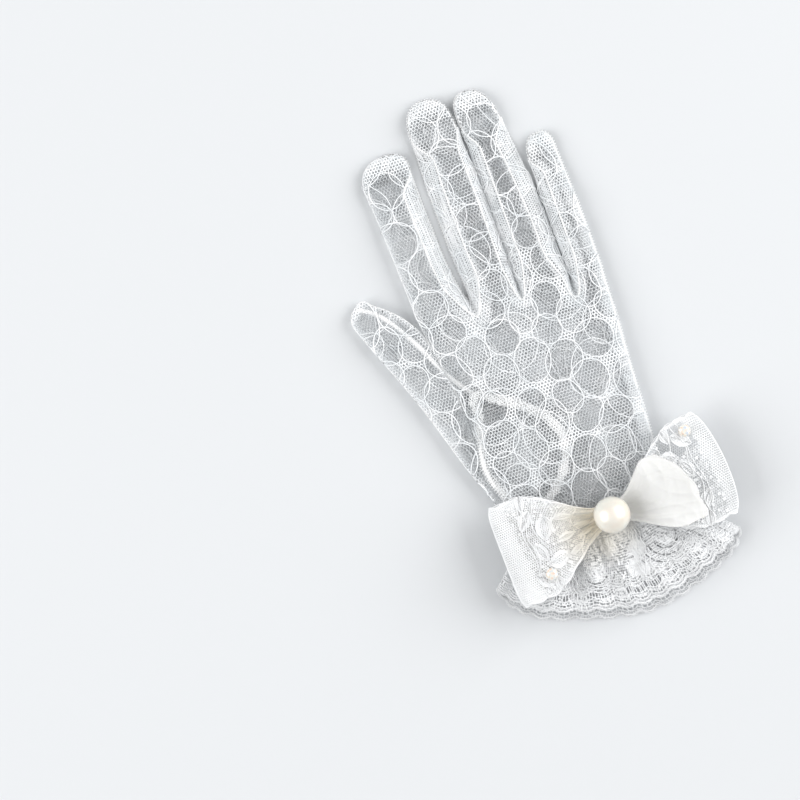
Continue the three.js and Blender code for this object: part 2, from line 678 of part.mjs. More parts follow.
// Assembly
const glove = new THREE.Group();
function add(name, geometry, finish) {
  const mesh = new THREE.Mesh(geometry, finish);
  mesh.name = name;
  glove.add(mesh);
}

add("hand_back", handPanel("back"), NET);
add("hand_palm", palmPanel(), NET);
for (let i = 0; i < FINGERS.length - 1; i += 1) {
  const name = `fourchette_${FINGERS[i].name}_${FINGERS[i + 1].name}`;
  add(name, fourchette(FINGERS[i], FINGERS[i + 1]), NET);
}
add("thumb_back", thumbPanel("back"), NET);
add("thumb_front", thumbPanel("palm"), NET);
add("ruffle", ruffle(), TRIM_LACE);
for (const [name, loop] of Object.entries(LOOPS)) {
  add(name, loopStrip(loop), name.startsWith("lace") ? TRIM_LACE : ORGANZA);
}
add("bow_knot", knot(), ORGANZA);
add("pearl", pearl(), PEARL_COAT);
for (const [name, place] of Object.entries(STONES)) add(name, stone(place), CRYSTAL);
glove.position.set(-FOOTPRINT_CENTRE.x, -FOOTPRINT_CENTRE.y, 0);

const part = new THREE.Group();
part.add(glove);
export default part;
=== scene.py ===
"""A short dress glove of white lace for the right hand, lying flat with its back up.

Shapes are worked out in millimetres on the glove's pattern: its origin is the middle of the palm,
+X towards the little finger, +Y towards the fingertips, +Z up from the table. They become the
frame's metres when a mesh is made.
"""
import math

import bpy
import numpy as np
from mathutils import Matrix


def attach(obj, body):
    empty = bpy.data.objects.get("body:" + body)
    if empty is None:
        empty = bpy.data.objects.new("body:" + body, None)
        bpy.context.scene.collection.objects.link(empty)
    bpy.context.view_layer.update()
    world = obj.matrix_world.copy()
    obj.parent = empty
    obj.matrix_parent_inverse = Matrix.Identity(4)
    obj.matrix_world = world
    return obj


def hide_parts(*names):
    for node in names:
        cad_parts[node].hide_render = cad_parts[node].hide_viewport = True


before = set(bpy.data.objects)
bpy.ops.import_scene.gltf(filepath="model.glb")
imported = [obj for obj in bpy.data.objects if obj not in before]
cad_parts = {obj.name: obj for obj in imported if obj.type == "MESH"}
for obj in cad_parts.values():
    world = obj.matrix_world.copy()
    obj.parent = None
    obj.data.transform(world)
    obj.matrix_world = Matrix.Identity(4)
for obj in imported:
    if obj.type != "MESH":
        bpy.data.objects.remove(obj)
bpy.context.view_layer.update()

# The view
# The glove lies on a table and is seen from straight above, turned a little to the right.
VIEW_CENTRE = (-0.0505, 0.0020)  # the point of the table in the middle of the picture
VIEW_WIDTH = 0.303
VIEW_TURN = math.radians(-20)
LENS = 300.0
SENSOR = 36.0

camera = bpy.data.objects.new("camera", bpy.data.cameras.new("camera"))
camera.data.lens = LENS
camera.data.sensor_width = SENSOR
camera.location = (*VIEW_CENTRE, VIEW_WIDTH * LENS / SENSOR)
camera.rotation_euler = (0, 0, VIEW_TURN)
bpy.context.scene.collection.objects.link(camera)
bpy.context.scene.camera = camera

# Back panel of the hand
# One piece of stretch net for the back of the hand and of the four fingers: a knitted ground of
# six-sided holes with a thick cord laid on it in loose rings. It is cut to shape, and lies nearly
# flat but for its sides, which round down to the seams.
MM = 0.001
PATTERN_CENTRE = (-1.1, 16.8, 0.0)  # the frame's origin, on the pattern

CLOTH = 1.0  # what the cloth takes up with its cords and seams
TABLE = CLOTH / 2  # height of cloth that lies on the table
SEAM_GAP = 0.4
SEAM_SHARE = 0.44  # height of the side seam, of the panels' height there
SIDE_ROUND = 5.0
SIDE_POWER = 2.3
PALM = {
    "y": (-46, -37, -27, -12, 4, 20, 34, 46),
    "left": (-25.5, -27.6, -29.1, -29.8, -30.0, -31.6, -33.8, -35.2),
    "right": (31.0, 32.2, 33.1, 34.1, 34.9, 36.1, 36.6, 37.2),
    "height": (8.0, 8.2, 8.3, 8.4, 8.4, 8.0, 7.7, 7.2),
}
FINGERS = (  # index, middle, ring and little finger, from the fork to where the round tip starts
    {
        "y": (46, 58, 78, 99), "left": (-35.2, -35.5, -36.2, -37.2),
        "right": (-15.3, -17.2, -18.2, -18.6), "lean": {"left": 0.0, "right": 5.4},
        "tip": (-26.4, 107.4), "height": 7.2, "tip_height": 5.2,
    },
    {
        "y": (46, 60, 86, 109), "left": (-13.2, -14.2, -14.5, -13.9), "right": (4.0, 4.1, 4.1, 3.6),
        "lean": {"left": 5.6, "right": 2.4}, "tip": (-5.2, 122.0), "height": 7.2, "tip_height": 5.2,
    },
    {
        "y": (46, 65, 86, 107), "left": (5.6, 5.6, 5.6, 5.6), "right": (23.9, 24.0, 22.6, 20.4),
        "lean": {"left": 4.0, "right": 5.6}, "tip": (11.2, 120.0), "height": 7.2, "tip_height": 5.2,
    },
    {
        "y": (40, 56, 73, 88), "left": (25.5, 25.4, 25.4, 25.6), "right": (37.1, 37.1, 36.7, 36.1),
        "lean": {"left": 3.6, "right": 0.0}, "tip": (31.4, 96.0), "height": 7.2, "tip_height": 5.0,
    },
)
FORKS = (46.0, 46.0, 40.0)  # of the palm panel, between the fingers
BACK_FORK_DROP = 7.5  # the back panel's forks lie lower
FORK_ROUND = {"back": 6.0, "palm": 3.0}  # length of a slot's rounded bottom
FORK_SHARE = 0.3  # of its lean, which a side strip has at the fork
FORK_RUN = 16  # from the fork to where it leans in full
CLOSING_SHARE = 0.16  # of the finger, from the tip, in which the lean fades out
SHUTTING_SHARE = 0.5  # of that, in which the strip ends and the panel rounds down
THINNING_SHARE = 0.5  # of the finger, from the tip, which thins
TIP_POWER = 2.5  # 2 is a round tip, more is blunter
WRIST_GATHER = {"depth": 0.3, "waves": 5, "reach": 0.3}  # reach as a share of the hand's length
THUMB_PASS = {"from": -30, "to": 38, "height": 6.0, "fade": 5}  # where the back lies on the thumb
CELL_SPILL = 2.0  # how far a net cell may run on over the line below a fork, where the net is whole


def lerp(a, b, t):
    """a for t = 0, b for t = 1, and in proportion between and beyond."""
    return a + (b - a) * t


def smooth(t):
    """3t^2 - 2t^3, held at 0 and 1 outside."""
    t = np.clip(t, 0, 1)
    return t * t * (3 - 2 * t)


def through(table, column, place, by="y"):
    """A smooth line through a table's rows: between two rows a cubic whose slopes are the mean slopes
    of the table there, and beyond the first and last row a straight line."""
    rows, values = np.array(table[by], float), np.array(table[column], float)
    slopes = np.gradient(values, rows)
    place = np.asarray(place, float)
    i = np.clip(np.searchsorted(rows, place) - 1, 0, len(rows) - 2)
    run = rows[i + 1] - rows[i]
    t = np.clip((place - rows[i]) / run, 0, 1)
    cubic = (
        values[i] * (1 + 2 * t) * (1 - t) ** 2
        + values[i + 1] * t**2 * (3 - 2 * t)
        + run * (slopes[i] * t * (1 - t) ** 2 - slopes[i + 1] * t**2 * (1 - t))
    )
    beyond = np.where(place < rows[0], slopes[0] * (place - rows[0]), slopes[-1] * (place - rows[-1]))
    return cubic + np.where((place < rows[0]) | (place > rows[-1]), beyond, 0)


def finger_share(k, y):
    """How far y is from the start of finger k's round tip, as a share of the finger's length."""
    first, last = FINGERS[k]["y"][0], FINGERS[k]["y"][-1]
    return (last - y) / (last - first)


def finger_edge(k, side, y, face):
    """Edge of finger k at y. On the back panel it is drawn in by the side strip's lean, which grows
    from the fork and fades out towards the tip."""
    finger = FINGERS[k]
    y = np.minimum(y, finger["y"][-1])
    edge = through(finger, side, y)
    if face == "back":
        grow = lerp(FORK_SHARE, 1, smooth((y - finger["y"][0] + BACK_FORK_DROP) / FORK_RUN))
        lean = finger["lean"][side] * grow * smooth(finger_share(k, y) / CLOSING_SHARE)
        edge = edge + (lean if side == "left" else -lean)
    return edge


def fork_bottom(j, face):
    """Where the slot between finger j and the next one starts; lower on the back panel."""
    return FORKS[j] - (BACK_FORK_DROP if face == "back" else 0)


def slot(j, y, face):
    """Middle and half width of the slot between finger j and the next one: it opens from its bottom
    as a quarter circle does, and is closed below."""
    bottom = fork_bottom(j, face)
    place = np.maximum(y, bottom)
    near, far = finger_edge(j, "right", place, face), finger_edge(j + 1, "left", place, face)
    opening = np.clip((y - bottom) / FORK_ROUND[face], 0, 1)
    return (near + far) / 2, (far - near) / 2 * np.sqrt(1 - (1 - opening) ** 2)


def panel_edges(k, y, face):
    """Left and right edge at y of the stretch of a panel that runs up into finger k."""
    edges = []
    for side, outer, j in (("left", k == 0, k - 1), ("right", k == 3, k)):
        if outer:
            top = FINGERS[k]["y"][0]
            edges.append(np.where(y < top, through(PALM, side, y), finger_edge(k, side, y, face)))
        else:
            middle, half = slot(j, y, face)
            edges.append(middle + half if side == "left" else middle - half)
    return edges


def panel_height(k, y):
    """Height of the glove at y, palm and back together, thinning towards the fingertips."""
    finger = FINGERS[k]
    share = smooth(finger_share(k, y) / THINNING_SHARE)
    thin = lerp(finger["tip_height"], finger["height"], share)
    return np.where(y < finger["y"][0], through(PALM, "height", y), thin)


def rounded_side(distance, height, face):
    """Height of a panel at a distance in from a seam: a quarter of a superellipse that stands on the
    seam and runs out into the flat of the panel."""
    share = 1 - np.clip(distance / SIDE_ROUND, 0, 1)
    rise = (1 - share**SIDE_POWER) ** (1 / SIDE_POWER)
    seam = height * SEAM_SHARE
    if face == "back":
        return lerp(seam + SEAM_GAP / 2, height - TABLE, rise)
    return lerp(seam - SEAM_GAP / 2, TABLE, rise)


def unrolled(face, height=8.0, steps=200):
    """Plan distances from a seam, and the lengths of cloth over the rounded side to there, by which
    the net is laid over the side without a stretch. The glove's height differs little from 8 mm."""
    plan = np.linspace(0, SIDE_ROUND, steps)
    rise = rounded_side(plan, height, face)
    return plan, np.concatenate([[0], np.cumsum(np.hypot(np.diff(plan), np.diff(rise)))])


UNROLLED = {face: unrolled(face) for face in ("back", "palm")}


def tip_limit(k, across):
    """How far up a finger's tip its outline is, at a place across from -1 to 1: a superellipse."""
    last, end = FINGERS[k]["y"][-1], FINGERS[k]["tip"][1]
    return last + (end - last) * (1 - np.clip(np.abs(across), 0, 1) ** TIP_POWER) ** (1 / TIP_POWER)


def on_panel(x, y, k, face):
    """Where the points of a flat piece of net come to lie on finger k's stretch of a panel, seen from
    above, and which of them are inside its outline. Those outside are moved to the outline. Below a
    fork there is no edge, and a cell runs on into the next finger's stretch."""
    finger = FINGERS[k]
    last, end = finger["y"][-1], finger["tip"][1]
    left, right = panel_edges(k, np.minimum(y, last), face)
    plan, cloth = UNROLLED[face]
    spare = cloth[-1] - plan[-1]

    def laid(reach):
        return np.where(reach < cloth[-1], np.interp(reach, cloth, plan), reach - spare)

    inside = np.ones(x.shape, bool)
    if k == 0:
        from_left = x - (left - spare)
        inside &= from_left > 0
        x = left + laid(from_left)
    if k == 3:
        from_right = right + spare - x
        inside &= from_right > 0
        x = right - laid(from_right)
    if k > 0:
        left = left - CELL_SPILL * (y < fork_bottom(k - 1, face))
    if k < 3:
        right = right + CELL_SPILL * (y < fork_bottom(k, face))
    inside &= (x >= left - 1e-6) & (x <= right + 1e-6)
    x = np.clip(x, left, right)
    middle, half = (left + right) / 2, (right - left) / 2
    limit = tip_limit(k, (x - middle) / np.maximum(half, 1e-6))
    inside &= (y <= limit) & (y >= PALM["y"][0])
    y = np.clip(y, PALM["y"][0], limit)
    return x + (finger["tip"][0] - middle) * np.clip((y - last) / (end - last), 0, 1), y, inside


def panel_z(x, y, k, face):
    """Height of a panel over a plan place. It is flat up to a fork side while the side strip is open,
    and rounds down, or up, to the seam at an outer side, at the tip and where the strip has ended."""
    finger = FINGERS[k]
    last, end = finger["y"][-1], finger["tip"][1]
    left, right = panel_edges(k, np.minimum(y, last), face)
    middle, half = (left + right) / 2, np.maximum((right - left) / 2, 1e-6)
    height = panel_height(k, np.minimum(y, last))
    flat = height - TABLE if face == "back" else np.full(np.shape(y), TABLE)
    share = np.clip((y - last) / (end - last), 0, 1)
    across = (x - (finger["tip"][0] - middle) * share - middle) / half
    to_tip = np.where(y > last - SIDE_ROUND, tip_limit(k, across) - y, SIDE_ROUND)
    heights = [rounded_side(to_tip, height, face)]
    for side, distance in (("left", (1 + across) * half), ("right", (1 - across) * half)):
        outer = finger["lean"][side] == 0
        open_share = 0 if outer else smooth(smooth(finger_share(k, y) / CLOSING_SHARE) / SHUTTING_SHARE)
        heights.append(lerp(rounded_side(distance, height, face), flat, open_share))
    z = np.minimum.reduce(heights) if face == "back" else np.maximum.reduce(heights)
    if face == "palm":
        return z
    palm_left, palm_right = through(PALM, "left", y), through(PALM, "right", y)
    place = np.clip((x - palm_left) / (palm_right - palm_left), 0, 1)
    up = (y - PALM["y"][0]) / (PALM["y"][-1] - PALM["y"][0])
    fade = np.clip(1 - up / WRIST_GATHER["reach"], 0, 1) ** 2 * np.sin(math.pi * place)
    z = z - WRIST_GATHER["depth"] * fade * (1 - np.cos(2 * math.pi * WRIST_GATHER["waves"] * place))
    rise = smooth((y - THUMB_PASS["from"]) / THUMB_PASS["fade"] + 1)
    fall = smooth((THUMB_PASS["to"] - y) / THUMB_PASS["fade"] + 1)
    lifted = np.maximum(z, THUMB_PASS["height"])
    return np.where(x < 0, lerp(z, lifted, rise * fall), z)


def by_finger(function, k, *arrays):
    """Calls a function of one finger for each finger's own elements of the arrays."""
    results = None
    for finger in range(len(FINGERS)):
        mine = k == finger
        found = function(*(a[mine] for a in arrays), finger)
        found = found if isinstance(found, tuple) else (found,)
        if results is None:
            results = tuple(np.zeros(k.shape, f.dtype) for f in found)
        for result, part in zip(results, found):
            result[mine] = part
    return results


def finger_of(x, y, face):
    """Which finger's stretch of a panel a plan place belongs to, 0 for the index finger."""
    return sum((x > slot(j, y, face)[0]).astype(int) for j in range(len(FORKS)))


def panel(face):
    """The surface of a panel: a function that turns flat places into points, and says which are
    inside. home holds the places that choose the finger, where they aren't the points' own."""

    def surface(x, y, home=None):
        home_x, home_y = (x, y) if home is None else home
        k = np.broadcast_to(finger_of(home_x, home_y, face), x.shape)
        px, py, inside = by_finger(lambda a, b, f: on_panel(a, b, f, face), k, x, y)
        (pz,) = by_finger(lambda a, b, f: panel_z(a, b, f, face), k, px, py)
        return np.stack([px, py, pz], -1), inside

    return surface


UP = np.array([0.0, 0.0, 1.0])


def unit(vectors):
    """Vectors over their lengths."""
    return vectors / np.maximum(np.linalg.norm(vectors, axis=-1, keepdims=True), 1e-9)


def triangular(low, high, pitch, stretch=1.0):
    """The places of a triangular grid, with every second row shifted by half a pitch, and the rows
    apart by sqrt(3) / 2 of the pitch times stretch."""
    rows = np.arange(low[1], high[1], pitch * math.sqrt(3) / 2 * stretch)
    x, y = np.meshgrid(np.arange(low[0], high[0], pitch), rows)
    x = x + (np.arange(len(rows)) % 2)[:, None] * pitch / 2
    return np.stack([x, y], -1).reshape(-1, 2)


def hexagons(low, high, pitch, stretch, sway):
    """Centres and corners of the holes of a flat net: a triangular grid of hexagons, longer than wide
    by stretch. Slow waves of size sway, of unlike lengths, keep the rows from being ruler straight."""
    centres = triangular(low, high, pitch, stretch)
    turn = np.radians(30 + 60 * np.arange(6))
    corner = pitch / math.sqrt(3) * np.stack([np.cos(turn), stretch * np.sin(turn)], -1)
    corners = centres[:, None] + corner

    def swayed(p):
        dx = np.sin(p[..., 1] / 9.0 + 0.6) + 0.6 * np.sin(p[..., 0] / 7.0 + p[..., 1] / 15.0)
        dy = np.sin(p[..., 0] / 8.0 + 1.1) + 0.6 * np.sin(p[..., 1] / 11.0 - p[..., 0] / 13.0)
        return p + sway * np.stack([dx, dy], -1)

    return swayed(centres), swayed(corners)


THREAD = 0.12
SHUT = 0.08


def net(surface, centres, corners, opening):
    """A net on a surface: each mesh is a ring of six faces from its outline, which neighbours share,
    to its hole, a share opening of the outline and a thread's depth below it. A mesh whose opening is
    under SHUT is filled, and one whose opening is over 1 is left out."""
    _, inside = surface(centres[:, 0], centres[:, 1])
    opening = np.broadcast_to(opening, inside.shape)
    kept = inside & (opening <= 1)
    centres, corners, opening = centres[kept], corners[kept], opening[kept]
    home = (centres[:, None, 0], centres[:, None, 1])
    outline, _ = surface(corners[..., 0], corners[..., 1], home)
    normal = unit(np.cross(outline[:, 2] - outline[:, 0], outline[:, 4] - outline[:, 0]))[:, None]
    middle = outline.mean(1, keepdims=True)
    hole = middle + (outline - middle) * opening[:, None, None] - normal * THREAD
    outline = outline + normal * THREAD / 2
    shared, index = np.unique(np.round(outline.reshape(-1, 3), 3), axis=0, return_inverse=True)
    index = index.reshape(-1, 6)
    rim = len(shared) + np.arange(index.size).reshape(-1, 6)
    open_mesh = opening > SHUT
    ring = np.stack([index, np.roll(index, -1, 1), np.roll(rim, -1, 1), rim], -1)[open_mesh]
    filled = index[~open_mesh][:, [[0, 1, 2, 3], [0, 3, 4, 5]]]
    faces = np.concatenate([ring.reshape(-1, 4), filled.reshape(-1, 4)])
    return np.concatenate([shared, hole.reshape(-1, 3)]), faces


def facing_out(corners, face):
    """Corners of meshes in the order that turns their faces outward, up on the back and down below."""
    return corners if face == "back" else corners[:, ::-1]


def tube(middle, up, width, height, closed=False, keep=None, sides=4):
    """Profiles carried along paths: middle and up are arrays of paths by points by 3, the profile is
    an ellipse of width and height, and keep says which steps are made."""
    if closed:
        ahead = np.roll(middle, -1, 1) - np.roll(middle, 1, 1)
    else:
        ahead = np.gradient(middle, axis=1)
    across = unit(np.cross(up, unit(ahead)))
    up = unit(np.cross(unit(ahead), across))
    turn = 2 * math.pi * (np.arange(sides) + 0.5) / sides
    width = np.broadcast_to(width, middle.shape[:2])[..., None, None]
    height = np.broadcast_to(height, middle.shape[:2])[..., None, None]
    aside = across[:, :, None] * np.cos(turn)[:, None] * width
    above = up[:, :, None] * np.sin(turn)[:, None] * height
    points = middle[:, :, None] + (aside + above) / 2
    paths, steps = middle.shape[:2]
    number = np.arange(paths * steps * sides).reshape(paths, steps, sides)
    after = np.roll(number, -1, 1) if closed else number[:, 1:]
    here = number if closed else number[:, :-1]
    faces = np.stack([here, np.roll(here, -1, 2), np.roll(after, -1, 2), after], -1)
    if keep is not None:
        faces = faces[keep]
    faces = [faces.reshape(-1, 4)]
    if not closed and keep is None:
        order = np.arange(sides)
        for end, way in ((number[:, 0], order[::-1]), (number[:, -1], order)):
            for a in range(1, sides - 1, 2):
                faces.append(end[:, way[[0, a, a + 1, min(a + 2, sides - 1)]]])
    return points.reshape(-1, 3), np.concatenate(faces)


def cords(surface, paths, width, height, closed=False, lift=0.0):
    """Cords laid on a surface along flat paths, an array of paths by points by 2. A step that leaves
    the surface, or grows threefold on it because it jumps over a gap, isn't made."""
    x, y = home = paths[..., 0], paths[..., 1]
    middle, inside = surface(x, y)
    nudge = 0.05
    along_x = surface(x + nudge, y, home)[0] - surface(x - nudge, y, home)[0]
    along_y = surface(x, y + nudge, home)[0] - surface(x, y - nudge, home)[0]
    up = unit(np.cross(along_x, along_y))
    up[np.linalg.norm(up, axis=-1) < 0.5] = (0, 0, 1)
    step = np.linalg.norm(np.roll(middle, -1, 1) - middle, axis=-1)
    flat_step = np.linalg.norm(np.roll(paths, -1, 1) - paths, axis=-1)
    keep = (inside | np.roll(inside, -1, 1)) & (step < 3 * flat_step + 0.2) & (step > 1e-4)
    if not closed:
        keep = keep[:, :-1]
    return tube(middle + lift * up, up, width, height, closed, keep)


RINGS = {
    "tall": 1.12,  # a ring is longer than wide
    "shake": 0.32,  # of the grid of centres, as a share of the spacing
    "size": (0.78, 1.22),
    "rounding": 3.4,  # the power in the sum below: more makes corners
    "reach": 2.6,  # spacings within which rings push on each other
    "widest": 0.85,  # spacings, for a ring that no other one pushes on
    "overlap": 1.24,  # the rings are drawn larger than the cells they come from, and cross
    "faded": 0.25,  # what is left of the waves round a ring beyond the second
}


def rings(rng, low, high, spacing, steps=40):
    """Paths of loose rings that lie side by side as bubbles do, and a function for how far out places
    are in their ring, as a share of its radius, and which ring that is. The centres are a shaken
    triangular grid. A ring is the outline of the places nearest to its centre in proportion to its
    size: 1 / r is the root of the sum of powers of 1 / (way to the line that parts two rings)."""
    tall, power = RINGS["tall"], RINGS["rounding"]
    centres = triangular((low[0], low[1] / tall), (high[0], high[1] / tall), spacing)
    centres = centres + rng.uniform(-RINGS["shake"], RINGS["shake"], centres.shape) * spacing
    size = rng.uniform(*RINGS["size"], len(centres))
    way = centres[None] - centres[:, None]
    distance = np.linalg.norm(way, axis=-1)[..., None]
    angle = 2 * math.pi * np.arange(steps) / steps
    direction = np.stack([np.cos(angle), np.sin(angle)])
    parted = ((size[:, None] + size[None]) / size[:, None])[..., None]
    nearness = parted * np.maximum(way @ direction, 0) / np.maximum(distance, 1) ** 2
    total = np.where(distance < RINGS["reach"] * spacing, nearness, 0) ** power
    alone = (1 / (RINGS["widest"] * spacing)) ** power
    radius = RINGS["overlap"] / (total.sum(1) + alone) ** (1 / power)
    waves = np.fft.rfft(radius, axis=1)
    waves[:, 3:] *= RINGS["faded"]
    radius = np.fft.irfft(waves, steps, axis=1)

    def out(x, y):
        dx, dy = x[:, None] - centres[:, 0], y[:, None] / tall - centres[:, 1]
        step = np.round(np.arctan2(dy, dx) / (2 * math.pi) * steps).astype(int) % steps
        share = np.hypot(dx, dy) / radius[np.arange(len(centres)), step]
        return share.min(1), share.argmin(1)

    return (centres[:, None] + radius[..., None] * direction.T) * (1, tall), out


SQUEEZED = 1e-5  # mm2, of a face that an outline squeezed to nothing


def mesh_piece(name, parts, material):
    """One object from parts, which are arrays of points in millimetres on the pattern and of
    four-sided faces. Faces that were squeezed to nothing at an outline are left out."""
    points, faces, start = [], [], 0
    for part_points, part_faces in parts:
        points.append(part_points)
        faces.append(part_faces + start)
        start += len(part_points)
    points, faces = np.concatenate(points), np.concatenate(faces)
    a, b, c, d = (points[faces[:, i]] for i in range(4))
    area = np.linalg.norm(np.cross(c - a, d - b), axis=1) / 2
    faces = faces[area > SQUEEZED]
    used, faces = np.unique(faces, return_inverse=True)
    points, faces = points[used], faces.reshape(-1, 4)
    mesh = bpy.data.meshes.new(name)
    mesh.vertices.add(len(points))
    mesh.vertices.foreach_set("co", ((points - PATTERN_CENTRE) * MM).astype(np.float32).ravel())
    mesh.loops.add(faces.size)
    mesh.loops.foreach_set("vertex_index", faces.astype(np.int32).ravel())
    mesh.polygons.add(len(faces))
    mesh.polygons.foreach_set("loop_start", np.arange(0, faces.size, 4, dtype=np.int32))
    mesh.polygons.foreach_set("use_smooth", np.ones(len(faces), bool))
    mesh.update(calc_edges=True)
    mesh.validate()
    mesh.materials.append(material)
    piece = bpy.data.objects.new(name, mesh)
    bpy.context.scene.collection.objects.link(piece)
    return piece


def linear(colour):
    """An sRGB hex colour as linear RGBA."""
    values = [int(colour[i : i + 2], 16) / 255 for i in (1, 3, 5)]
    return (*[v / 12.92 if v <= 0.04045 else ((v + 0.055) / 1.055) ** 2.4 for v in values], 1.0)


def add_node(material, kind, sockets=None, **settings):
    """Adds a shader node. settings are its own properties; sockets gives named inputs a value, or a
    node and the name of its output to link from."""
    tree = material.node_tree
    node = tree.nodes.new(kind)
    for name, value in settings.items():
        setattr(node, name, value)
    for name, value in (sockets or {}).items():
        if isinstance(value, tuple) and isinstance(value[0], bpy.types.Node):
            tree.links.new(value[0].outputs[value[1]], node.inputs[name])
        else:
            node.inputs[name].default_value = value
    return node


def new_material(name):
    """A material without nodes, and a first node that gives places on the piece itself."""
    material = bpy.data.materials.new(name)
    material.use_nodes = True
    material.node_tree.nodes.clear()
    return material, add_node(material, "ShaderNodeTexCoord")


def ramp(material, share, *stops):
    """A colour that runs through stops, a position and a hex colour each, by another node's output."""
    node = add_node(material, "ShaderNodeValToRGB", {"Fac": share})
    while len(node.color_ramp.elements) < len(stops):
        node.color_ramp.elements.new(0.5)
    for element, (position, colour) in zip(node.color_ramp.elements, stops):
        element.position, element.color = position, linear(colour)
    return node


def surfaced(material, sockets):
    """Gives a material its surface shader and its output."""
    shader = add_node(material, "ShaderNodeBsdfPrincipled", sockets)
    add_node(material, "ShaderNodeOutputMaterial", {"Surface": (shader, "BSDF")})
    return material


def creamed(material, tint, near):
    """Adds a cream tone, where the cloth lies many times over itself near a place in millimetres."""
    x, y, z, reach, colour = near
    scale = 1 / (reach * MM)
    place = add_node(material, "ShaderNodeTexCoord")
    centred = add_node(
        material, "ShaderNodeMapping",
        {
            "Vector": (place, "Object"), "Scale": (scale, scale, scale),
            "Location": tuple(-scale * MM * (a - b) for a, b in zip((x, y, z), PATTERN_CENTRE)),
        },
    )
    nearness = add_node(
        material, "ShaderNodeTexGradient", {"Vector": (centred, "Vector")}, gradient_type="SPHERICAL"
    )
    sockets = {"Fac": (nearness, "Fac"), "Color1": (tint, "Color"), "Color2": linear(colour)}
    return add_node(material, "ShaderNodeMixRGB", sockets)


def ridges(material, place, spacing, distortion, strength, depth):
    """Fine slanting ridges a spacing apart, as a bump. A wave texture of scale s has its bands about
    0.3 / s apart."""
    ridge = add_node(
        material, "ShaderNodeTexWave",
        {
            "Vector": (place, "Object"), "Scale": 0.3 / (spacing * MM), "Distortion": distortion,
            "Detail": 1.0,
        },
        bands_direction="DIAGONAL",
    )
    sockets = {"Height": (ridge, "Fac"), "Strength": strength, "Distance": depth * MM}
    return add_node(material, "ShaderNodeBump", sockets)


def thread_material(name, light, shade, roughness, sheen, twist=0.5, patch=9.0, near=None):
    """Twisted textured yarn: matt, with a faint sheen of fine filaments, slightly uneven in whiteness
    over patches of some millimetres, and ridged by its twist. The twist is drawn some times coarser
    than the real one, so that it shows."""
    material, place = new_material(name)
    cloud = add_node(
        material, "ShaderNodeTexNoise",
        {"Vector": (place, "Object"), "Scale": 1 / (patch * MM), "Detail": 3.0, "Roughness": 0.6},
    )
    tint = ramp(material, (cloud, "Fac"), (0.35, shade), (0.65, light))
    tint = creamed(material, tint, near) if near else tint
    bump = ridges(material, place, twist, distortion=2.0, strength=0.35, depth=0.06)
    return surfaced(material, {
        "Base Color": (tint, "Color"), "Roughness": roughness, "Sheen Weight": sheen,
        "Sheen Roughness": 0.5, "Normal": (bump, "Normal"), "IOR": 1.5,
    })


NET_PITCH = 1.25  # from hole to hole
NET_STRETCH = 1.06
NET_SWAY = 0.45
NET_OPENING = 0.88
FINGER_OPENING = 0.91  # stretched wider over the three long fingers and the thumb
FINGER_RUN = 12  # from the forks to where it is that wide
WIDEST_OPENING = 0.94
SEAM_CLOSING = {"share": 0.86, "from": 0.5, "run": 0.6}  # of the holes, by shares of the doubled net
TIP_CLOSING = {"share": 0.66, "from": 1, "run": 9}  # of the holes over a fingertip
TIP_ROUND = 0.75  # how much of the tip's curve the doubled tip follows
TURNED = {  # the turned edge under the seams
    "opening": 0.74, "pitch": 1.1, "depth": 0.4, "width": 0.95, "shift": (0.6, 0.2),
}
TIP = {"opening": (0.45, 0.94), "pitch": 0.9, "depth": 9.5, "from": 80}  # the doubled tip, from its end
TURNED_STRETCH = 0.96
BANDS = {  # width of the doubled net left and right in each finger
    "back": ((0.6, 1.2), (1.8, 0.9), (0.9, 1.4), (3.4, 4.2)),
    "palm": ((0.8, 4.4), (4.6, 2.8), (3.0, 4.8), (3.2, 4.4)),
}
FORK_BANDS = (5.2, 3.4, 3.4)
FORK_BAND_RUN = 18  # from a fork up to where the finger's own band has taken over
NO_SEAM = 9.0  # a share that is far from any seam
RING_SPACING = 12.4
WIDE_RINGS = 1.45  # spacing of the wider loops, of the close rings'
BETWEEN = {"opening": 0.79, "from": 0.94, "run": 0.14}  # between the rings, by shares of their radius
UNEVEN = {"ring": (0.91, 1.04), "hole": (0.94, 1.04)}  # size of the holes, by ring and one by one
CORD = {"width": 0.53, "height": 0.42}
WIDE_CORD = {"width": 0.44, "height": 0.3}
CORD_LIFT = {"least": 0.06, "step": 0.085}
PANEL_FIELD = ((-42, -47), (42, 124))
PANEL_GRID = {"back": (0.0, 1), "palm": (0.37, -1)}  # shift and way of sway, so that they don't match

# Knitted nylon filament: a cool, slightly uneven white, matt, with a faint sheen at grazing light.
nylon_net = thread_material("nylon net yarn", "#f9fafb", "#eceff1", 0.7, 0.25)


def to_tip(x, y, k, face):
    """Distance from the outline over finger k's tip, less at its sides than the full curve has."""
    left, right = panel_edges(k, np.minimum(y, FINGERS[k]["y"][-1]), face)
    return tip_limit(k, TIP_ROUND * (2 * x - left - right) / (right - left)) - y


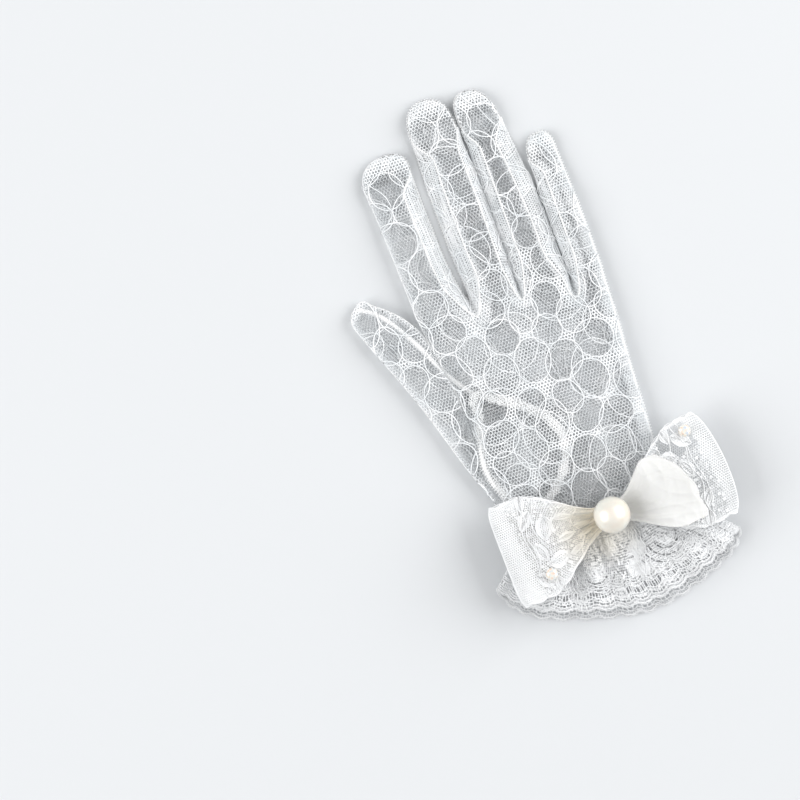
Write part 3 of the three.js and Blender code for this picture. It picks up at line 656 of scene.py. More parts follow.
def to_seams(x, y, face):
    """Distance to the nearest seam as a share of the width of the doubled net there, and distance to
    the fingertip's outline."""
    k = finger_of(x, y, face)
    (to_end,) = by_finger(lambda a, b, f: to_tip(a, b, f, face), k, x, y)
    widths = BANDS[face]
    from_side = np.maximum(panel_edges(3, y, face)[1] - x, 0)
    share = np.where(k == 3, from_side / widths[3][1], NO_SEAM)
    for j in range(len(FORKS)):
        middle, half = slot(j, y, face)
        over = y - fork_bottom(j, face)
        above = np.maximum(np.abs(x - middle) - half, 0)
        below = np.hypot(np.maximum(np.abs(x - middle) - 1, 0), over)
        own = np.where(x < middle, widths[j][1], widths[j + 1][0])
        band = lerp(FORK_BANDS[j], own, smooth(over / FORK_BAND_RUN))
        share = np.minimum(share, np.where(over > 0, above, below) / band)
    return share, to_end


def panel_opening(centres, face):
    """Holes are open in the flat of a panel, and close up a little towards seams and fingertips."""
    x, y = centres[:, 0], centres[:, 1]
    share, to_end = to_seams(x, y, face)
    long_finger = smooth((y - FORKS[0]) / FINGER_RUN) * (finger_of(x, y, face) < 3)
    opening = lerp(NET_OPENING, FINGER_OPENING, long_finger)
    for closing, distance in ((SEAM_CLOSING, share), (TIP_CLOSING, to_end)):
        opened = smooth((distance - closing["from"]) / closing["run"])
        opening = opening * lerp(closing["share"], 1, opened)
    return opening


def turned_edge(face):
    """The edges turned in along the seams, and the doubled tips: a second net inside the first."""
    outer = panel(face)

    def inner(x, y, home=None):
        points, inside = outer(x, y, home)
        points[..., 2] += -TURNED["depth"] if face == "back" else TURNED["depth"]
        return points, inside

    parts = []
    (left, low), (right, high) = PANEL_FIELD
    shift_x, shift_y = TURNED["shift"]
    for kind, start in ((TURNED, low), (TIP, TIP["from"])):
        corner = (left + shift_x, start + shift_y)
        centres, corners = hexagons(corner, (right, high), kind["pitch"], TURNED_STRETCH, -NET_SWAY)
        share, to_end = to_seams(centres[:, 0], centres[:, 1], face)
        in_tip = to_end < TIP["depth"]
        if kind is TIP:
            opening = np.where(in_tip, lerp(*TIP["opening"], smooth(to_end / TIP["depth"])), 2)
        else:
            opening = np.where((share < TURNED["width"]) & ~in_tip, TURNED["opening"], 2)
        parts.append(net(inner, centres, facing_out(corners, face), opening))
    return parts


def laid_cords(surface, laid):
    """The net's rings as cords. Neighbours lie at different heights, so that they cross."""
    lift = CORD_LIFT["least"] + CORD_LIFT["step"] * ((np.arange(len(laid)) * 7) % 5)
    return cords(surface, laid, **CORD, closed=True, lift=lift[:, None, None])


def ringed_net(surface, centres, corners, opening, seed, field):
    """A net and its pattern: close rings, and thinner cords in wide loops that cross them. The ground
    is closer between the rings."""
    rng = np.random.default_rng(seed)
    laid, out = rings(rng, *field, RING_SPACING)
    wide, _ = rings(rng, *field, WIDE_RINGS * RING_SPACING, steps=56)
    share, ring = out(centres[:, 0], centres[:, 1])
    opening = opening * lerp(1, BETWEEN["opening"], smooth((share - BETWEEN["from"]) / BETWEEN["run"]))
    opening = opening * rng.uniform(*UNEVEN["ring"], len(laid))[ring]
    opening = opening * rng.uniform(*UNEVEN["hole"], len(centres))
    ground = net(surface, centres, corners, np.minimum(opening, WIDEST_OPENING))
    return ground, laid_cords(surface, laid), cords(surface, wide[::2], **WIDE_CORD, closed=True)


def net_panel(face, surface, seed):
    """A panel's net with its cords and its turned edges."""
    (left, low), (right, high) = PANEL_FIELD
    shift, way = PANEL_GRID[face]
    corner = (left + shift, low + shift)
    centres, corners = hexagons(corner, (right, high), NET_PITCH, NET_STRETCH, way * NET_SWAY)
    opening = panel_opening(centres, face)
    outer = ringed_net(surface, centres, facing_out(corners, face), opening, seed, PANEL_FIELD)
    return [*outer, *turned_edge(face)]


hand_back = mesh_piece("hand_back_net", net_panel("back", panel("back"), seed=11), nylon_net)
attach(hand_back, "root")
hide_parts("hand_back")

# Palm panel
# The same net for the palm and the fronts of the fingers. It lies on the table, and has an oval
# hole for the thumb at its left side.
THUMB_HOLE = {"x": -15.0, "y": -12.0, "across": 15.5, "along": 22.0, "turn": math.radians(20)}


def hole_reach(x, y):
    """Distance of a place from the middle of the thumb's hole, as a share of the way to its rim; left
    of the middle the hole runs out over the panel's edge."""
    dx, dy = x - THUMB_HOLE["x"], y - THUMB_HOLE["y"]
    c, s = math.cos(THUMB_HOLE["turn"]), math.sin(THUMB_HOLE["turn"])
    across, along = (dx * c + dy * s) / THUMB_HOLE["across"], (dy * c - dx * s) / THUMB_HOLE["along"]
    return np.where(across < 0, np.abs(along), np.hypot(across, along))


palm_surface = panel("palm")


def palm_with_hole(x, y, home=None):
    """The palm panel without what lies inside the thumb's hole."""
    points, inside = palm_surface(x, y, home)
    return points, inside & (hole_reach(x, y) > 1)


hand_palm = mesh_piece("hand_palm_net", net_panel("palm", palm_with_hole, seed=12), nylon_net)
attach(hand_palm, "root")
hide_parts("hand_palm")

# Fourchettes
# Narrow strips of the same net that close the sides of the fingers. Each runs down one finger, round
# the fork and up the next finger, sewn to the palm panel below and to the back panel above.
FOURCHETTE_DROP_SHARE = 0.25  # of its half, from the fork, in which the lower back fork is met
FOURCHETTE_STATIONS = 240
FOURCHETTE_BULGE = (0.4, 1.45, 1.35)  # towards the gap
FOURCHETTE_PLEATS = (0.16, 0.34, 0.5, 0.68, 0.84)  # up the strip
FOURCHETTE_PLEAT = {"width": 0.4, "height": 0.24}


def length_along(line):
    """How far each point of a line lies along it from the first one: the sum of the steps to there."""
    return np.concatenate([[0], np.cumsum(np.linalg.norm(np.diff(line, axis=0), axis=1))])


def panel_line(k, side, y, face):
    """Points of a panel's edge on one side of finger k, at the places y."""
    edge = panel_edges(k, y, face)[0 if side == "left" else 1]
    return np.stack([edge, y, panel_z(edge, y, k, face)], -1)


def fourchette_edges(j):
    """The lines along which the strip between finger j and the next one is sewn to the palm panel and
    to the back panel. Both go from one fingertip down to the fork and up to the other."""
    way = np.linspace(-1, 1, FOURCHETTE_STATIONS)
    share = np.abs(way) ** 1.6
    feet, heads = [], []
    for k, side, mine in ((j, "right", way < 0), (j + 1, "left", way >= 0)):
        palm_y = lerp(fork_bottom(j, "palm"), FINGERS[k]["y"][-1], share[mine])
        back_y = palm_y - BACK_FORK_DROP * smooth(1 - share[mine] / FOURCHETTE_DROP_SHARE)
        feet.append(panel_line(k, side, palm_y, "palm"))
        heads.append(panel_line(k, side, back_y, "back"))
    return np.concatenate(feet), np.concatenate(heads)


def fourchette(j):
    """The surface of a strip: straight across from foot to head. x runs along it, y up it."""
    foot, head = fourchette_edges(j)
    length = length_along((foot + head) / 2)
    way = np.linspace(-1, 1, FOURCHETTE_STATIONS)
    from_fork, near_tip = smooth(np.abs(way) / 0.25), smooth(4 * np.abs(way) - 3)
    lean = -np.sign(way) * FOURCHETTE_BULGE[j] * from_fork * lerp(1, 0.5, near_tip)
    widths = np.linalg.norm(head - foot, axis=1)

    def surface(x, y, home=None):
        place = length[-1] - np.clip(x, 0, length[-1])
        low = np.stack([np.interp(place, length, foot[:, i]) for i in range(3)], -1)
        top = np.stack([np.interp(place, length, head[:, i]) for i in range(3)], -1)
        width = np.linalg.norm(top - low, axis=-1)
        share = y / np.maximum(width, 1e-6)
        inside = (x >= 0) & (x <= length[-1]) & (share > 0) & (share < 1)
        points = lerp(low, top, np.clip(share, 0, 1)[..., None])
        points[..., 0] += np.interp(place, length, lean) * np.sin(math.pi * np.clip(share, 0, 1) ** 0.6)
        return points, inside

    x = np.linspace(0.5, length[-1] - 0.5, 150)
    pleats = []
    for n, share in enumerate(FOURCHETTE_PLEATS):
        strayed = share + 0.06 * np.sin(x / (5.5 + n) + 2 * n + j)
        pleats.append(np.stack([x, np.interp(length[-1] - x, length, widths) * strayed], -1))
    return surface, length[-1], np.stack(pleats)


FOURCHETTE_NAMES = ("fourchette_index_middle", "fourchette_middle_ring", "fourchette_ring_little")
FOURCHETTE_WIDTH = 12.0
FOURCHETTE_NET = {"pitch": 1.0, "stretch": 1.0, "sway": 0.2}
FOURCHETTE_OPENING = 0.68
for j, name in enumerate(FOURCHETTE_NAMES):
    surface, length, pleats = fourchette(j)
    field = ((-4, -4), (length, FOURCHETTE_WIDTH))
    centres, corners = hexagons((0, -1), field[1], **FOURCHETTE_NET)
    strip = ringed_net(surface, centres, corners, FOURCHETTE_OPENING, 20 + j, field)
    piece = mesh_piece(name + "_net", [*strip, cords(surface, pleats, **FOURCHETTE_PLEAT)], nylon_net)
    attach(piece, "root")
    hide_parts(name)

# Thumb
# A set-in thumb of the same net: its back lies against the side of the hand, and its front reaches
# under the hand to the rim of the oval hole in the palm.
THUMB = {
    "ring": tuple(range(9)),
    "outer_x": (-31.0, -33.6, -36.6, -39.9, -43.4, -47.4, -51.8, -55.8, -58.4),
    "outer_y": (-31.0, -23.2, -15.0, -4.0, 8.0, 20.0, 31.6, 42.0, 49.2),
    "inner_x": (-30.6, -30.6, -31.2, -32.3, -33.8, -35.9, -40.2, -45.2, -49.8),
    "inner_y": (7.0, 8.2, 15.5, 24.5, 33.0, 40.5, 47.4, 52.6, 56.2),
    "height": (6.4, 7.2, 7.6, 7.6, 7.4, 7.2, 7.0, 6.6, 6.0),
}
THUMB_TIP = {"x": -56.0, "y": 57.2, "height": 5.0, "blunt": 0.9}
THUMB_POWER = 0.75  # of the superellipse across it
THUMB_LINES = 500
THUMB_NET_END = 9  # the ring at the very tip
THUMB_ROOT = {"under": -36, "from": -31.5, "run": 6, "highest": 3.0}  # x, and the height of the joint
THUMB_EDGE = {"share": 0.14, "opening": 0.75}
THUMB_END = {"from": 8.9, "run": 0.9, "opening": 0.6}
THUMB_SWAY = 0.35


def thumb_line(ring):
    """Outer and inner end of the line across the thumb at a place along it: 0 is its root, 8 the start
    of its tip and 9 the end, where the lines shrink as the chords of a circle do."""
    last = THUMB["ring"][-1]
    place = np.minimum(ring, last)
    outer = np.stack([through(THUMB, f"outer_{c}", place, "ring") for c in "xy"], -1)
    inner = np.stack([through(THUMB, f"inner_{c}", place, "ring") for c in "xy"], -1)
    step = np.clip(ring - last, 0, 1)[..., None]
    middle, half = (outer + inner) / 2, (inner - outer) / 2
    middle = lerp(middle, np.array([THUMB_TIP["x"], THUMB_TIP["y"]]), step)
    half = half * (1 - step ** (2 / THUMB_TIP["blunt"])) ** (THUMB_TIP["blunt"] / 2)
    return middle - half, middle + half


def line_place(x, y, places, starts, ends):
    """Where a plan place lies on a fan of lines: which line, as a value of places, the share of the
    way along it, and whether the place is before the first line. It is between the first line that
    has the place behind it and the line before that."""
    way = ends - starts
    ahead = way[:, 0] * (y[..., None] - starts[:, 1]) - way[:, 1] * (x[..., None] - starts[:, 0])
    first = np.where((ahead >= 0).all(-1), len(places) - 1, np.argmax(ahead < 0, -1))
    before = np.maximum(first - 1, 0)
    gone = np.take_along_axis(ahead, before[..., None], -1)[..., 0]
    still = np.take_along_axis(ahead, first[..., None], -1)[..., 0]
    share = np.clip(gone / np.where(np.abs(gone - still) < 1e-9, 1, gone - still), 0, 1)
    line = lerp(starts[before], starts[first], share[..., None])
    way = lerp(ends[before], ends[first], share[..., None]) - line
    along = (x - line[..., 0]) * way[..., 0] + (y - line[..., 1]) * way[..., 1]
    along = along / np.maximum((way**2).sum(-1), 1e-6)
    return lerp(places[before], places[first], share), along, ahead[..., 0] < 0


def thumb_place(x, y):
    """Ring and share across the thumb of a plan place."""
    places = np.linspace(0, THUMB_NET_END, THUMB_LINES)
    return line_place(x, y, places, *thumb_line(places))


def thumb_z(ring, across, face):
    """Height over the thumb: half a superellipse across it, and lower towards the tip."""
    last = THUMB["ring"][-1]
    height = through(THUMB, "height", np.minimum(ring, last), "ring")
    step = np.clip(ring - last, 0, 1)
    height = lerp(height, THUMB_TIP["height"], step)
    cosine = np.abs(1 - 2 * np.clip(across, 0, 1)) ** (1 / THUMB_POWER)
    rise = np.minimum((1 - cosine**2) ** (THUMB_POWER / 2), np.sqrt(1 - step**2))
    side = 1 if face == "back" else -1
    return height / 2 + side * lerp(SEAM_GAP / 2, height / 2 - TABLE, rise)


def thumb_back_surface(x, y, home=None):
    """The thumb's back: plan places on the lines across it, at the height over them."""
    ring, across, before = thumb_place(x, y)
    inside = (across > 0) & (across < 1) & (ring < THUMB_NET_END) & ~before
    across = np.clip(across, 0, 1)
    outer, inner = thumb_line(ring)
    plan = lerp(outer, inner, across[..., None])
    return np.concatenate([plan, thumb_z(ring, across, "back")[..., None]], -1), inside


def thumb_front_surface(x, y, home=None):
    """The thumb's front, and right of its root the flat stretch that fills the hole of the palm."""
    ring, across, before = thumb_place(x, y)
    under = before & (x > THUMB_ROOT["under"])
    on_front = (across > 0) & (across < 1) & (ring < THUMB_NET_END)
    inside = np.where(under, hole_reach(x, y) < 1, on_front)
    clamped = np.clip(across, 0, 1)
    outer, inner = thumb_line(ring)
    plan = lerp(outer, inner, clamped[..., None])
    z = thumb_z(ring, clamped, "palm")
    dx, dy = x - THUMB_HOLE["x"], y - THUMB_HOLE["y"]
    pull = 1 / np.maximum(hole_reach(x, y), 1)
    hole_x = np.where(dx > 0, THUMB_HOLE["x"] + dx * pull, x)
    hole_y = THUMB_HOLE["y"] + dy * pull
    at_root = np.minimum(thumb_z(np.zeros_like(x), clamped, "palm"), THUMB_ROOT["highest"])
    hole_z = lerp(at_root, TABLE, smooth((x - THUMB_ROOT["from"]) / THUMB_ROOT["run"]))
    flat = np.stack([hole_x, hole_y, hole_z], -1)
    on_thumb = np.concatenate([plan, z[..., None]], -1)
    return np.where(under[..., None], flat, on_thumb), inside


def thumb_opening(centres):
    """The thumb's holes close up a little towards its sides and its tip."""
    ring, across, _ = thumb_place(centres[:, 0], centres[:, 1])
    edge = smooth(np.minimum(across, 1 - across) / THUMB_EDGE["share"])
    end = smooth((THUMB_END["from"] - ring) / THUMB_END["run"])
    return FINGER_OPENING * lerp(THUMB_EDGE["opening"], 1, edge) * lerp(THUMB_END["opening"], 1, end)


for face, surface, seed, sway, field, cut, area in (
    ("back", thumb_back_surface, 31, THUMB_SWAY, ((-62, -34), (-28, 60)), (0.020, 0.094), 0.0011),
    ("front", thumb_front_surface, 32, -THUMB_SWAY, ((-62, -36), (2, 60)), (0.042, 0.110), 0.0023),
):
    centres, corners = hexagons(*field, NET_PITCH, NET_STRETCH, sway)
    corners = facing_out(corners, face)
    parts = ringed_net(surface, centres, corners, thumb_opening(centres), seed, field)
    piece = mesh_piece(f"thumb_{face}_net", parts, nylon_net)
    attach(piece, "root")
    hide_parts(f"thumb_{face}")

# Seams
# The side strips are sewn to the panels, and the outer side of the little finger is closed, by
# overlocked seams: both edges turned in and bound by a yarn that goes round them at each stitch.
# At the index finger's outer side the net is only folded.
WELT = {"width": 0.95, "height": 0.6, "core": 0.5, "stitch": 1.1, "yarn": 0.3}  # core as a share
CORE_HEIGHT = 0.85  # of the welt's
CORE_STEP = 0.8
YARN_POINTS = 6  # to a turn
CLOSED_WELT = {**WELT, "width": 1.7}  # at the little finger's side
FOLD = {"width": 0.5, "height": 0.9}
FOLD_STEP = 1.0
TIP_STATIONS = 40


def evenly(line, step):
    """A line's points set an equal step apart."""
    length = length_along(line)
    place = np.linspace(0, length[-1], max(int(length[-1] / step), 4))
    return np.stack([np.interp(place, length, line[:, i]) for i in range(3)], -1)


def overlocked(line, welt=WELT):
    """A bound seam along a line: a flat welt, and round it a yarn whose turns are a stitch apart."""
    core = evenly(line, CORE_STEP)[None]
    middle = evenly(line, welt["stitch"] / YARN_POINTS)
    ahead = unit(np.gradient(middle, axis=0))
    across = unit(np.cross(UP, ahead))
    above = unit(np.cross(ahead, across))
    turn = 2 * math.pi * np.arange(len(middle))[:, None] / YARN_POINTS
    round_it = across * np.cos(turn) * welt["width"] + above * np.sin(turn) * welt["height"]
    yarn = (middle + round_it / 2)[None]
    return [
        tube(core, UP, welt["core"] * welt["width"], CORE_HEIGHT * welt["height"], sides=6),
        tube(yarn, UP, welt["yarn"], welt["yarn"]),
    ]


def folded(line):
    """The edge of a fold along a line, as a flat cord that stands on edge."""
    return tube(evenly(line, FOLD_STEP)[None], UP, FOLD["width"], FOLD["height"])


def tip_line(k, side):
    """The seam over finger k's tip, from the middle of the tip down to one side."""
    finger = FINGERS[k]
    last, end = finger["y"][-1], finger["tip"][1]
    across = (1 if side == "right" else -1) * np.sin(np.linspace(0, math.pi / 2, TIP_STATIONS))
    left, right = panel_edges(k, np.full(TIP_STATIONS, last), "palm")
    middle, half = (left + right) / 2, (right - left) / 2
    y = tip_limit(k, across)
    x = middle + half * across + (finger["tip"][0] - middle) * (y - last) / (end - last)
    return np.stack([x, y, np.full(TIP_STATIONS, finger["tip_height"] * SEAM_SHARE)], -1)


def side_line(k, side, y):
    """Finger k's side seam or fold from its tip on, along the places y."""
    edge = panel_edges(k, y, "palm")[0 if side == "left" else 1]
    line = np.stack([edge, y, panel_height(k, y) * SEAM_SHARE], -1)
    return np.concatenate([tip_line(k, side), line])


# Spun polyester sewing yarn: a purer white and more matt than the net, so the seams stand out.
seam_yarn = thread_material("overlocked seam yarn", "#fafafa", "#f2f3f3", 0.75, 0.3, twist=0.4)
seams = []
for j in range(len(FORKS)):
    over, down = tip_line(j, "right"), tip_line(j + 1, "left")[::-1]
    for edge in fourchette_edges(j):
        seams += overlocked(np.concatenate([over, edge, down]))
wrist, index_root = PALM["y"][0], 8
seams += overlocked(side_line(3, "right", np.linspace(FINGERS[3]["y"][-1], wrist, 60)), CLOSED_WELT)
seams.append(folded(side_line(0, "left", np.linspace(FINGERS[0]["y"][-1], index_root, 40))))
hand_seams = mesh_piece("hand_seams", seams, seam_yarn)
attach(hand_seams, "root")

# Thumb seams
# The thumb's own seam runs from its tip down its inner side and on into the palm, where it meets the
# oval seam that sets the thumb into the palm. They show through the back of the hand.
THUMB_SEAM = (
    (-55.5, 56.3, 3.4), (-50.0, 53.0, 4.4), (-44.5, 46.5, 5.2), (-38.5, 36.0, 5.6), (-34.2, 26.5, 5.2),
    (-29.5, 18.0, 4.2), (-24.3, 11.0, 2.8),
)
SET_IN_SEAM = (
    (-25.3, 10.0, 2.6), (-23.2, 10.6, 2.6), (-18.5, 6.9, 2.5), (-12.8, 3.6, 2.5), (-8.0, 0.4, 2.5),
    (-3.2, -4.4, 2.5), (0.1, -9.6, 2.4), (1.4, -15.0, 2.3), (0.7, -20.6, 2.2), (-1.6, -25.6, 2.1),
    (-5.2, -30.2, 2.0), (-10.0, -34.2, 1.9), (-15.5, -36.4, 1.9), (-21.0, -35.6, 2.0),
    (-25.4, -31.2, 2.3), (-28.4, -25.6, 2.6), (-30.0, -19.6, 2.9), (-30.2, -13.4, 3.0),
    (-28.4, -6.6, 3.0), (-26.2, 0.2, 2.8), (-25.6, 6.0, 2.7), (-25.3, 10.0, 2.6),
)
SET_IN_LIFT = 1.7  # of its middle, because it stands up inside
THUMB_WELT = {**WELT, "width": 2.0, "core": 0.85}
SET_IN_WELT = {**WELT, "width": 3.0, "height": 5.0, "core": 0.72, "yarn": 0.6}
THUMB_SEAM_SINKS = {"from": 20, "run": 14, "below": 0.5}  # towards the tip, under the thumb's back
ALLOWANCE = {"below": 0.5, "opening": 0.52, "reach": 1.7, "wave": 0.4}
ALLOWANCE_NET = {"pitch": 0.95, "stretch": 1.0, "sway": 0.3}
THUMB_SIDE_END = 8.97  # just short of the ring at the very tip
THUMB_SIDE_START = 12  # the side folds start this many of their points up from the root


def curve(points, steps=8):
    """A smooth line through points, steps to each stretch."""
    points = np.array(points, float)
    table = {"place": range(len(points)), **{c: points[:, i] for i, c in enumerate("xyz")}}
    place = np.linspace(0, len(points) - 1, (len(points) - 1) * steps + 1)
    return np.stack([through(table, c, place, "place") for c in "xyz"], -1)


def allowance(x, y, home=None):
    """What is turned in at the oval seam stands up inside the glove, and ends flat under its back."""
    points, inside = panel("back")(x, y, home)
    points[..., 2] -= ALLOWANCE["below"]
    return points, inside


thumb_seam = curve(THUMB_SEAM)
below_net = thumb_back_surface(thumb_seam[:, 0], thumb_seam[:, 1])[0][:, 2] - THUMB_SEAM_SINKS["below"]
sinks = smooth((thumb_seam[:, 1] - THUMB_SEAM_SINKS["from"]) / THUMB_SEAM_SINKS["run"])
thumb_seam[:, 2] = lerp(thumb_seam[:, 2], below_net, sinks)
set_in_seam = curve(SET_IN_SEAM) + (0, 0, SET_IN_LIFT)
thumb_seams = [*overlocked(thumb_seam, THUMB_WELT), *overlocked(set_in_seam, SET_IN_WELT)]

centres, corners = hexagons((-34, -40), (6, 16), **ALLOWANCE_NET)
aside = np.linalg.norm(centres[:, None] - set_in_seam[None, :, :2], axis=-1).min(1)
reach = ALLOWANCE["reach"] + ALLOWANCE["wave"] * np.sin(centres.sum(1) / 1.7)
thumb_seams.append(net(allowance, centres, corners, np.where(aside < reach, ALLOWANCE["opening"], 2)))
ring_line = np.linspace(0, THUMB_SIDE_END, 90)
for line in thumb_line(ring_line):
    height = through(THUMB, "height", np.minimum(ring_line, THUMB["ring"][-1]), "ring") / 2
    thumb_seams.append(folded(np.concatenate([line, height[:, None]], -1)[THUMB_SIDE_START:]))
thumb_seam_piece = mesh_piece("thumb_seams", thumb_seams, seam_yarn)
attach(thumb_seam_piece, "root")

# Wrist ruffle
# A wide lace edging gathered on to the wrist, once round it. It is a finer net with fans of corded
# arcs, bars between the arcs, and a thick scalloped hem. It flares and flutes towards the hem.
HEM = {
    "place": tuple(range(10)),
    "x": (-42.2, -38.2, -29.5, -15.0, 0.0, 13.0, 26.5, 39.5, 49.0, 53.2),
    "y": (-61.5, -70.0, -77.4, -83.0, -87.2, -88.8, -86.4, -82.0, -77.0, -71.0),
}
RUFFLE = {
    "length": 140.0, "fall": 38.0, "flutes": 8, "height": 8.0, "rise": 1.2, "upper_wave": 1.2,
    "lower_wave": 0.5, "upper_share": 0.91, "spread": 0.7, "side_power": 7, "seam_y": -46.4,
}
GATHERS = {"folds": 31, "depth": 0.24, "lowest": -0.2}
SCALLOP = {"width": 8.75, "depth": 1.3}
LADDER = (4.2, 7.0)  # a row of bars, from the hem
SLOTS = ((1.6, 2.9), (8.5, 9.6))  # narrow open rows, from the hem
BARS = ((LADDER, 1.25), (SLOTS[0], 2.3), (SLOTS[1], 2.1))  # in each row, and how far apart
FAN_STEP = 2.7
FAN_OPEN = 0.4  # share of a step
FANS = (  # x, y, where the arcs start and end, and the angles between which they are open
    (24.8, -63.0, 4.4, 13.0, -158, -28),
    (-4.4, -67.4, 4.0, 10.8, -150, -35),
    (43.0, -62.5, 4.4, 12.6, -150, -40),
    (-27.0, -65.0, 4.0, 10.8, -160, -40),
)
PATCHES = (  # x, y and radius of filled flowers
    (11.5, -71.5, 4.2), (13.5, -64.0, 3.2), (35.0, -72.0, 4.0), (-14.5, -75.5, 3.4), (3.4, -60.4, 3.2),
    (33.0, -61.0, 3.0), (-16.0, -63.0, 3.2), (47.0, -73.0, 3.0), (20.0, -78.6, 2.2), (2.0, -78.2, 2.2),
    (-31.0, -72.5, 2.6),
)
RIBS = (  # x above and below, y above and below, number, and how far apart
    (12.4, 11.6, -54, -76, 4, 1.1), (-16.5, -17.5, -56, -84, 4, 1.1), (38.0, 42.0, -55, -80, 3, 1.1),
)
TRIM_NET = {"pitch": 1.05, "stretch": 1.1, "sway": 0.25}
TRIM_OPENING = {
    "ground": 0.62, "uneven": (0.6, 1.25), "large": 0.86, "large_share": 0.09, "filled": 0.1,
    "filled_share": 0.1, "flower": 0.3, "hem": 0.74, "between_arcs": 0.5, "heart": 0.2,
    "gathered": 0.35, "gathered_run": 19,  # where the cloth is gathered at the seam, and as far as
    "sheer": 0.88, "sheer_left_of": -27, "sheer_hem": 9, "lower": 0.75,
}
ROW_CORD = {"width": 0.46, "height": 0.4}
BAR = {"width": 0.46, "height": 0.34}
ARC = {"width": 0.36, "height": 0.34}
ARC_BAR = {"width": 0.5, "height": 0.34}
PETAL = {"width": 0.36, "height": 0.32}
RIB = {"width": 0.5, "height": 0.4}
PICOT = {"apart": 1.46, "radius": 0.5, "thread": 0.3}
PETALS = 5


def hem_line(x, inset=0.0):
    """The scalloped hem, or a row that follows it, inset from it."""
    hollow = 1 - np.abs(np.sin(math.pi * x / SCALLOP["width"]))
    return RUFFLE["fall"] - SCALLOP["depth"] * hollow - inset


def ruffle_surface(layer):
    """Places of the upper or lower half of the ruffle: x runs along the edging, y down it from the
    seam, and both halves end on the same line at each side of the wrist."""

    def surface(x, y, home=None):
        inside = (x > 0) & (x < RUFFLE["length"]) & (y > 0) & (y < hem_line(x))
        across = np.clip(x / RUFFLE["length"], 0, 1)
        across = 1 - across if layer == "upper" else across
        fall = np.clip(np.minimum(y, hem_line(x)) / RUFFLE["fall"], 0, 1)
        body = np.sqrt(1 - np.abs(2 * across - 1) ** RUFFLE["side_power"])
        reach = fall * lerp(1, RUFFLE["upper_share"], body) if layer == "upper" else fall
        place = HEM["place"][-1] * across
        seam_x = lerp(PALM["left"][0], PALM["right"][0], across)
        px = lerp(seam_x, through(HEM, "x", place, "place"), reach)
        py = lerp(RUFFLE["seam_y"], through(HEM, "y", place, "place"), reach)
        flare = smooth(fall / RUFFLE["spread"]) * body
        wave = np.cos(2 * math.pi * RUFFLE["flutes"] * across)
        folds = np.sin(2 * math.pi * GATHERS["folds"] * across + 2 * fall)
        folds = GATHERS["depth"] * (1 - fall) ** 1.5 * body * folds
        if layer == "upper":
            flat = RUFFLE["height"] - TABLE + RUFFLE["rise"] * fall
            lift = RUFFLE["upper_wave"] * flare * wave + folds
        else:
            flat = TABLE
            lift = RUFFLE["lower_wave"] * flare * (wave + 1) + np.maximum(folds, GATHERS["lowest"])
        return np.stack([px, py, lerp(RUFFLE["height"] * SEAM_SHARE, flat, body) + lift], -1), inside

    return surface


def ruffle_from_above(x, y, home=None):
    """Places of the upper half by where they lie seen from above."""
    places = np.linspace(0, 1, 700)
    seam_x = lerp(PALM["left"][0], PALM["right"][0], places)
    starts = np.stack([seam_x, np.full_like(seam_x, RUFFLE["seam_y"])], -1)
    ends = np.stack([through(HEM, c, HEM["place"][-1] * places, "place") for c in "xy"], -1)
    across, reach, _ = line_place(x, y, places, starts, ends)
    body = np.sqrt(1 - np.abs(2 * across - 1) ** RUFFLE["side_power"])
    fall = reach / lerp(1, RUFFLE["upper_share"], body)
    return ruffle_surface("upper")((1 - across) * RUFFLE["length"], fall * RUFFLE["fall"])


def in_fan(x, y, fan):
    """Distance of places from a fan's middle, and which are in its openwork."""
    dx, dy = x - fan[0], y - fan[1]
    r, angle = np.hypot(dx, dy), np.degrees(np.arctan2(dy, dx))
    return r, (r > fan[2]) & (r < fan[3]) & (angle > fan[4]) & (angle < fan[5])


def ruffle_opening(layer, surface, centres, rng):
    """Meshes of the ruffle's ground: holes of uneven size with some large ones, closer in the flowers;
    left out in the arcs of the fans, in the ladder row and in the slots along the hem."""
    sizes = TRIM_OPENING
    points, _ = surface(centres[:, 0], centres[:, 1])
    opening = sizes["ground"] * rng.uniform(*sizes["uneven"], len(centres))
    opening[rng.random(len(centres)) < sizes["large_share"]] = sizes["large"]
    opening = opening * lerp(sizes["gathered"], 1, smooth(centres[:, 1] / sizes["gathered_run"]))
    opening[rng.random(len(centres)) < sizes["filled_share"]] = sizes["filled"]
    to_hem = hem_line(centres[:, 0]) - centres[:, 1]
    at_left = points[:, 0] < sizes["sheer_left_of"]
    if layer == "lower":
        sheer = (to_hem < sizes["sheer_hem"]) | at_left
        opening = np.where(sheer, sizes["sheer"], sizes["lower"] * opening)
    else:
        for x, y, radius in PATCHES:
            flower = np.hypot(points[:, 0] - x, points[:, 1] - y) < radius
            opening = np.where(flower, sizes["flower"] * opening, opening)
        opening = np.where(at_left, lerp(opening, sizes["sheer"], 0.7), opening)
        for fan in FANS:
            r, openwork = in_fan(points[:, 0], points[:, 1], fan)
            arc = (r[openwork] - fan[2]) % FAN_STEP < FAN_OPEN * FAN_STEP
            opening[openwork] = np.where(arc, 2, sizes["between_arcs"])
            opening[(r < fan[2] - 0.5) & (np.sin(2 * math.pi * r / 1.4) > 0.1)] = sizes["heart"]
    for near, far in (LADDER, *SLOTS):
        opening[(to_hem > near) & (to_hem < far)] = 2
    opening[to_hem < SLOTS[0][0]] = sizes["hem"]
    return opening


def polar(x, y, r, angle):
    """Places at distances and angles round a place."""
    return np.stack([x + r * np.cos(angle), y + r * np.sin(angle)], -1)


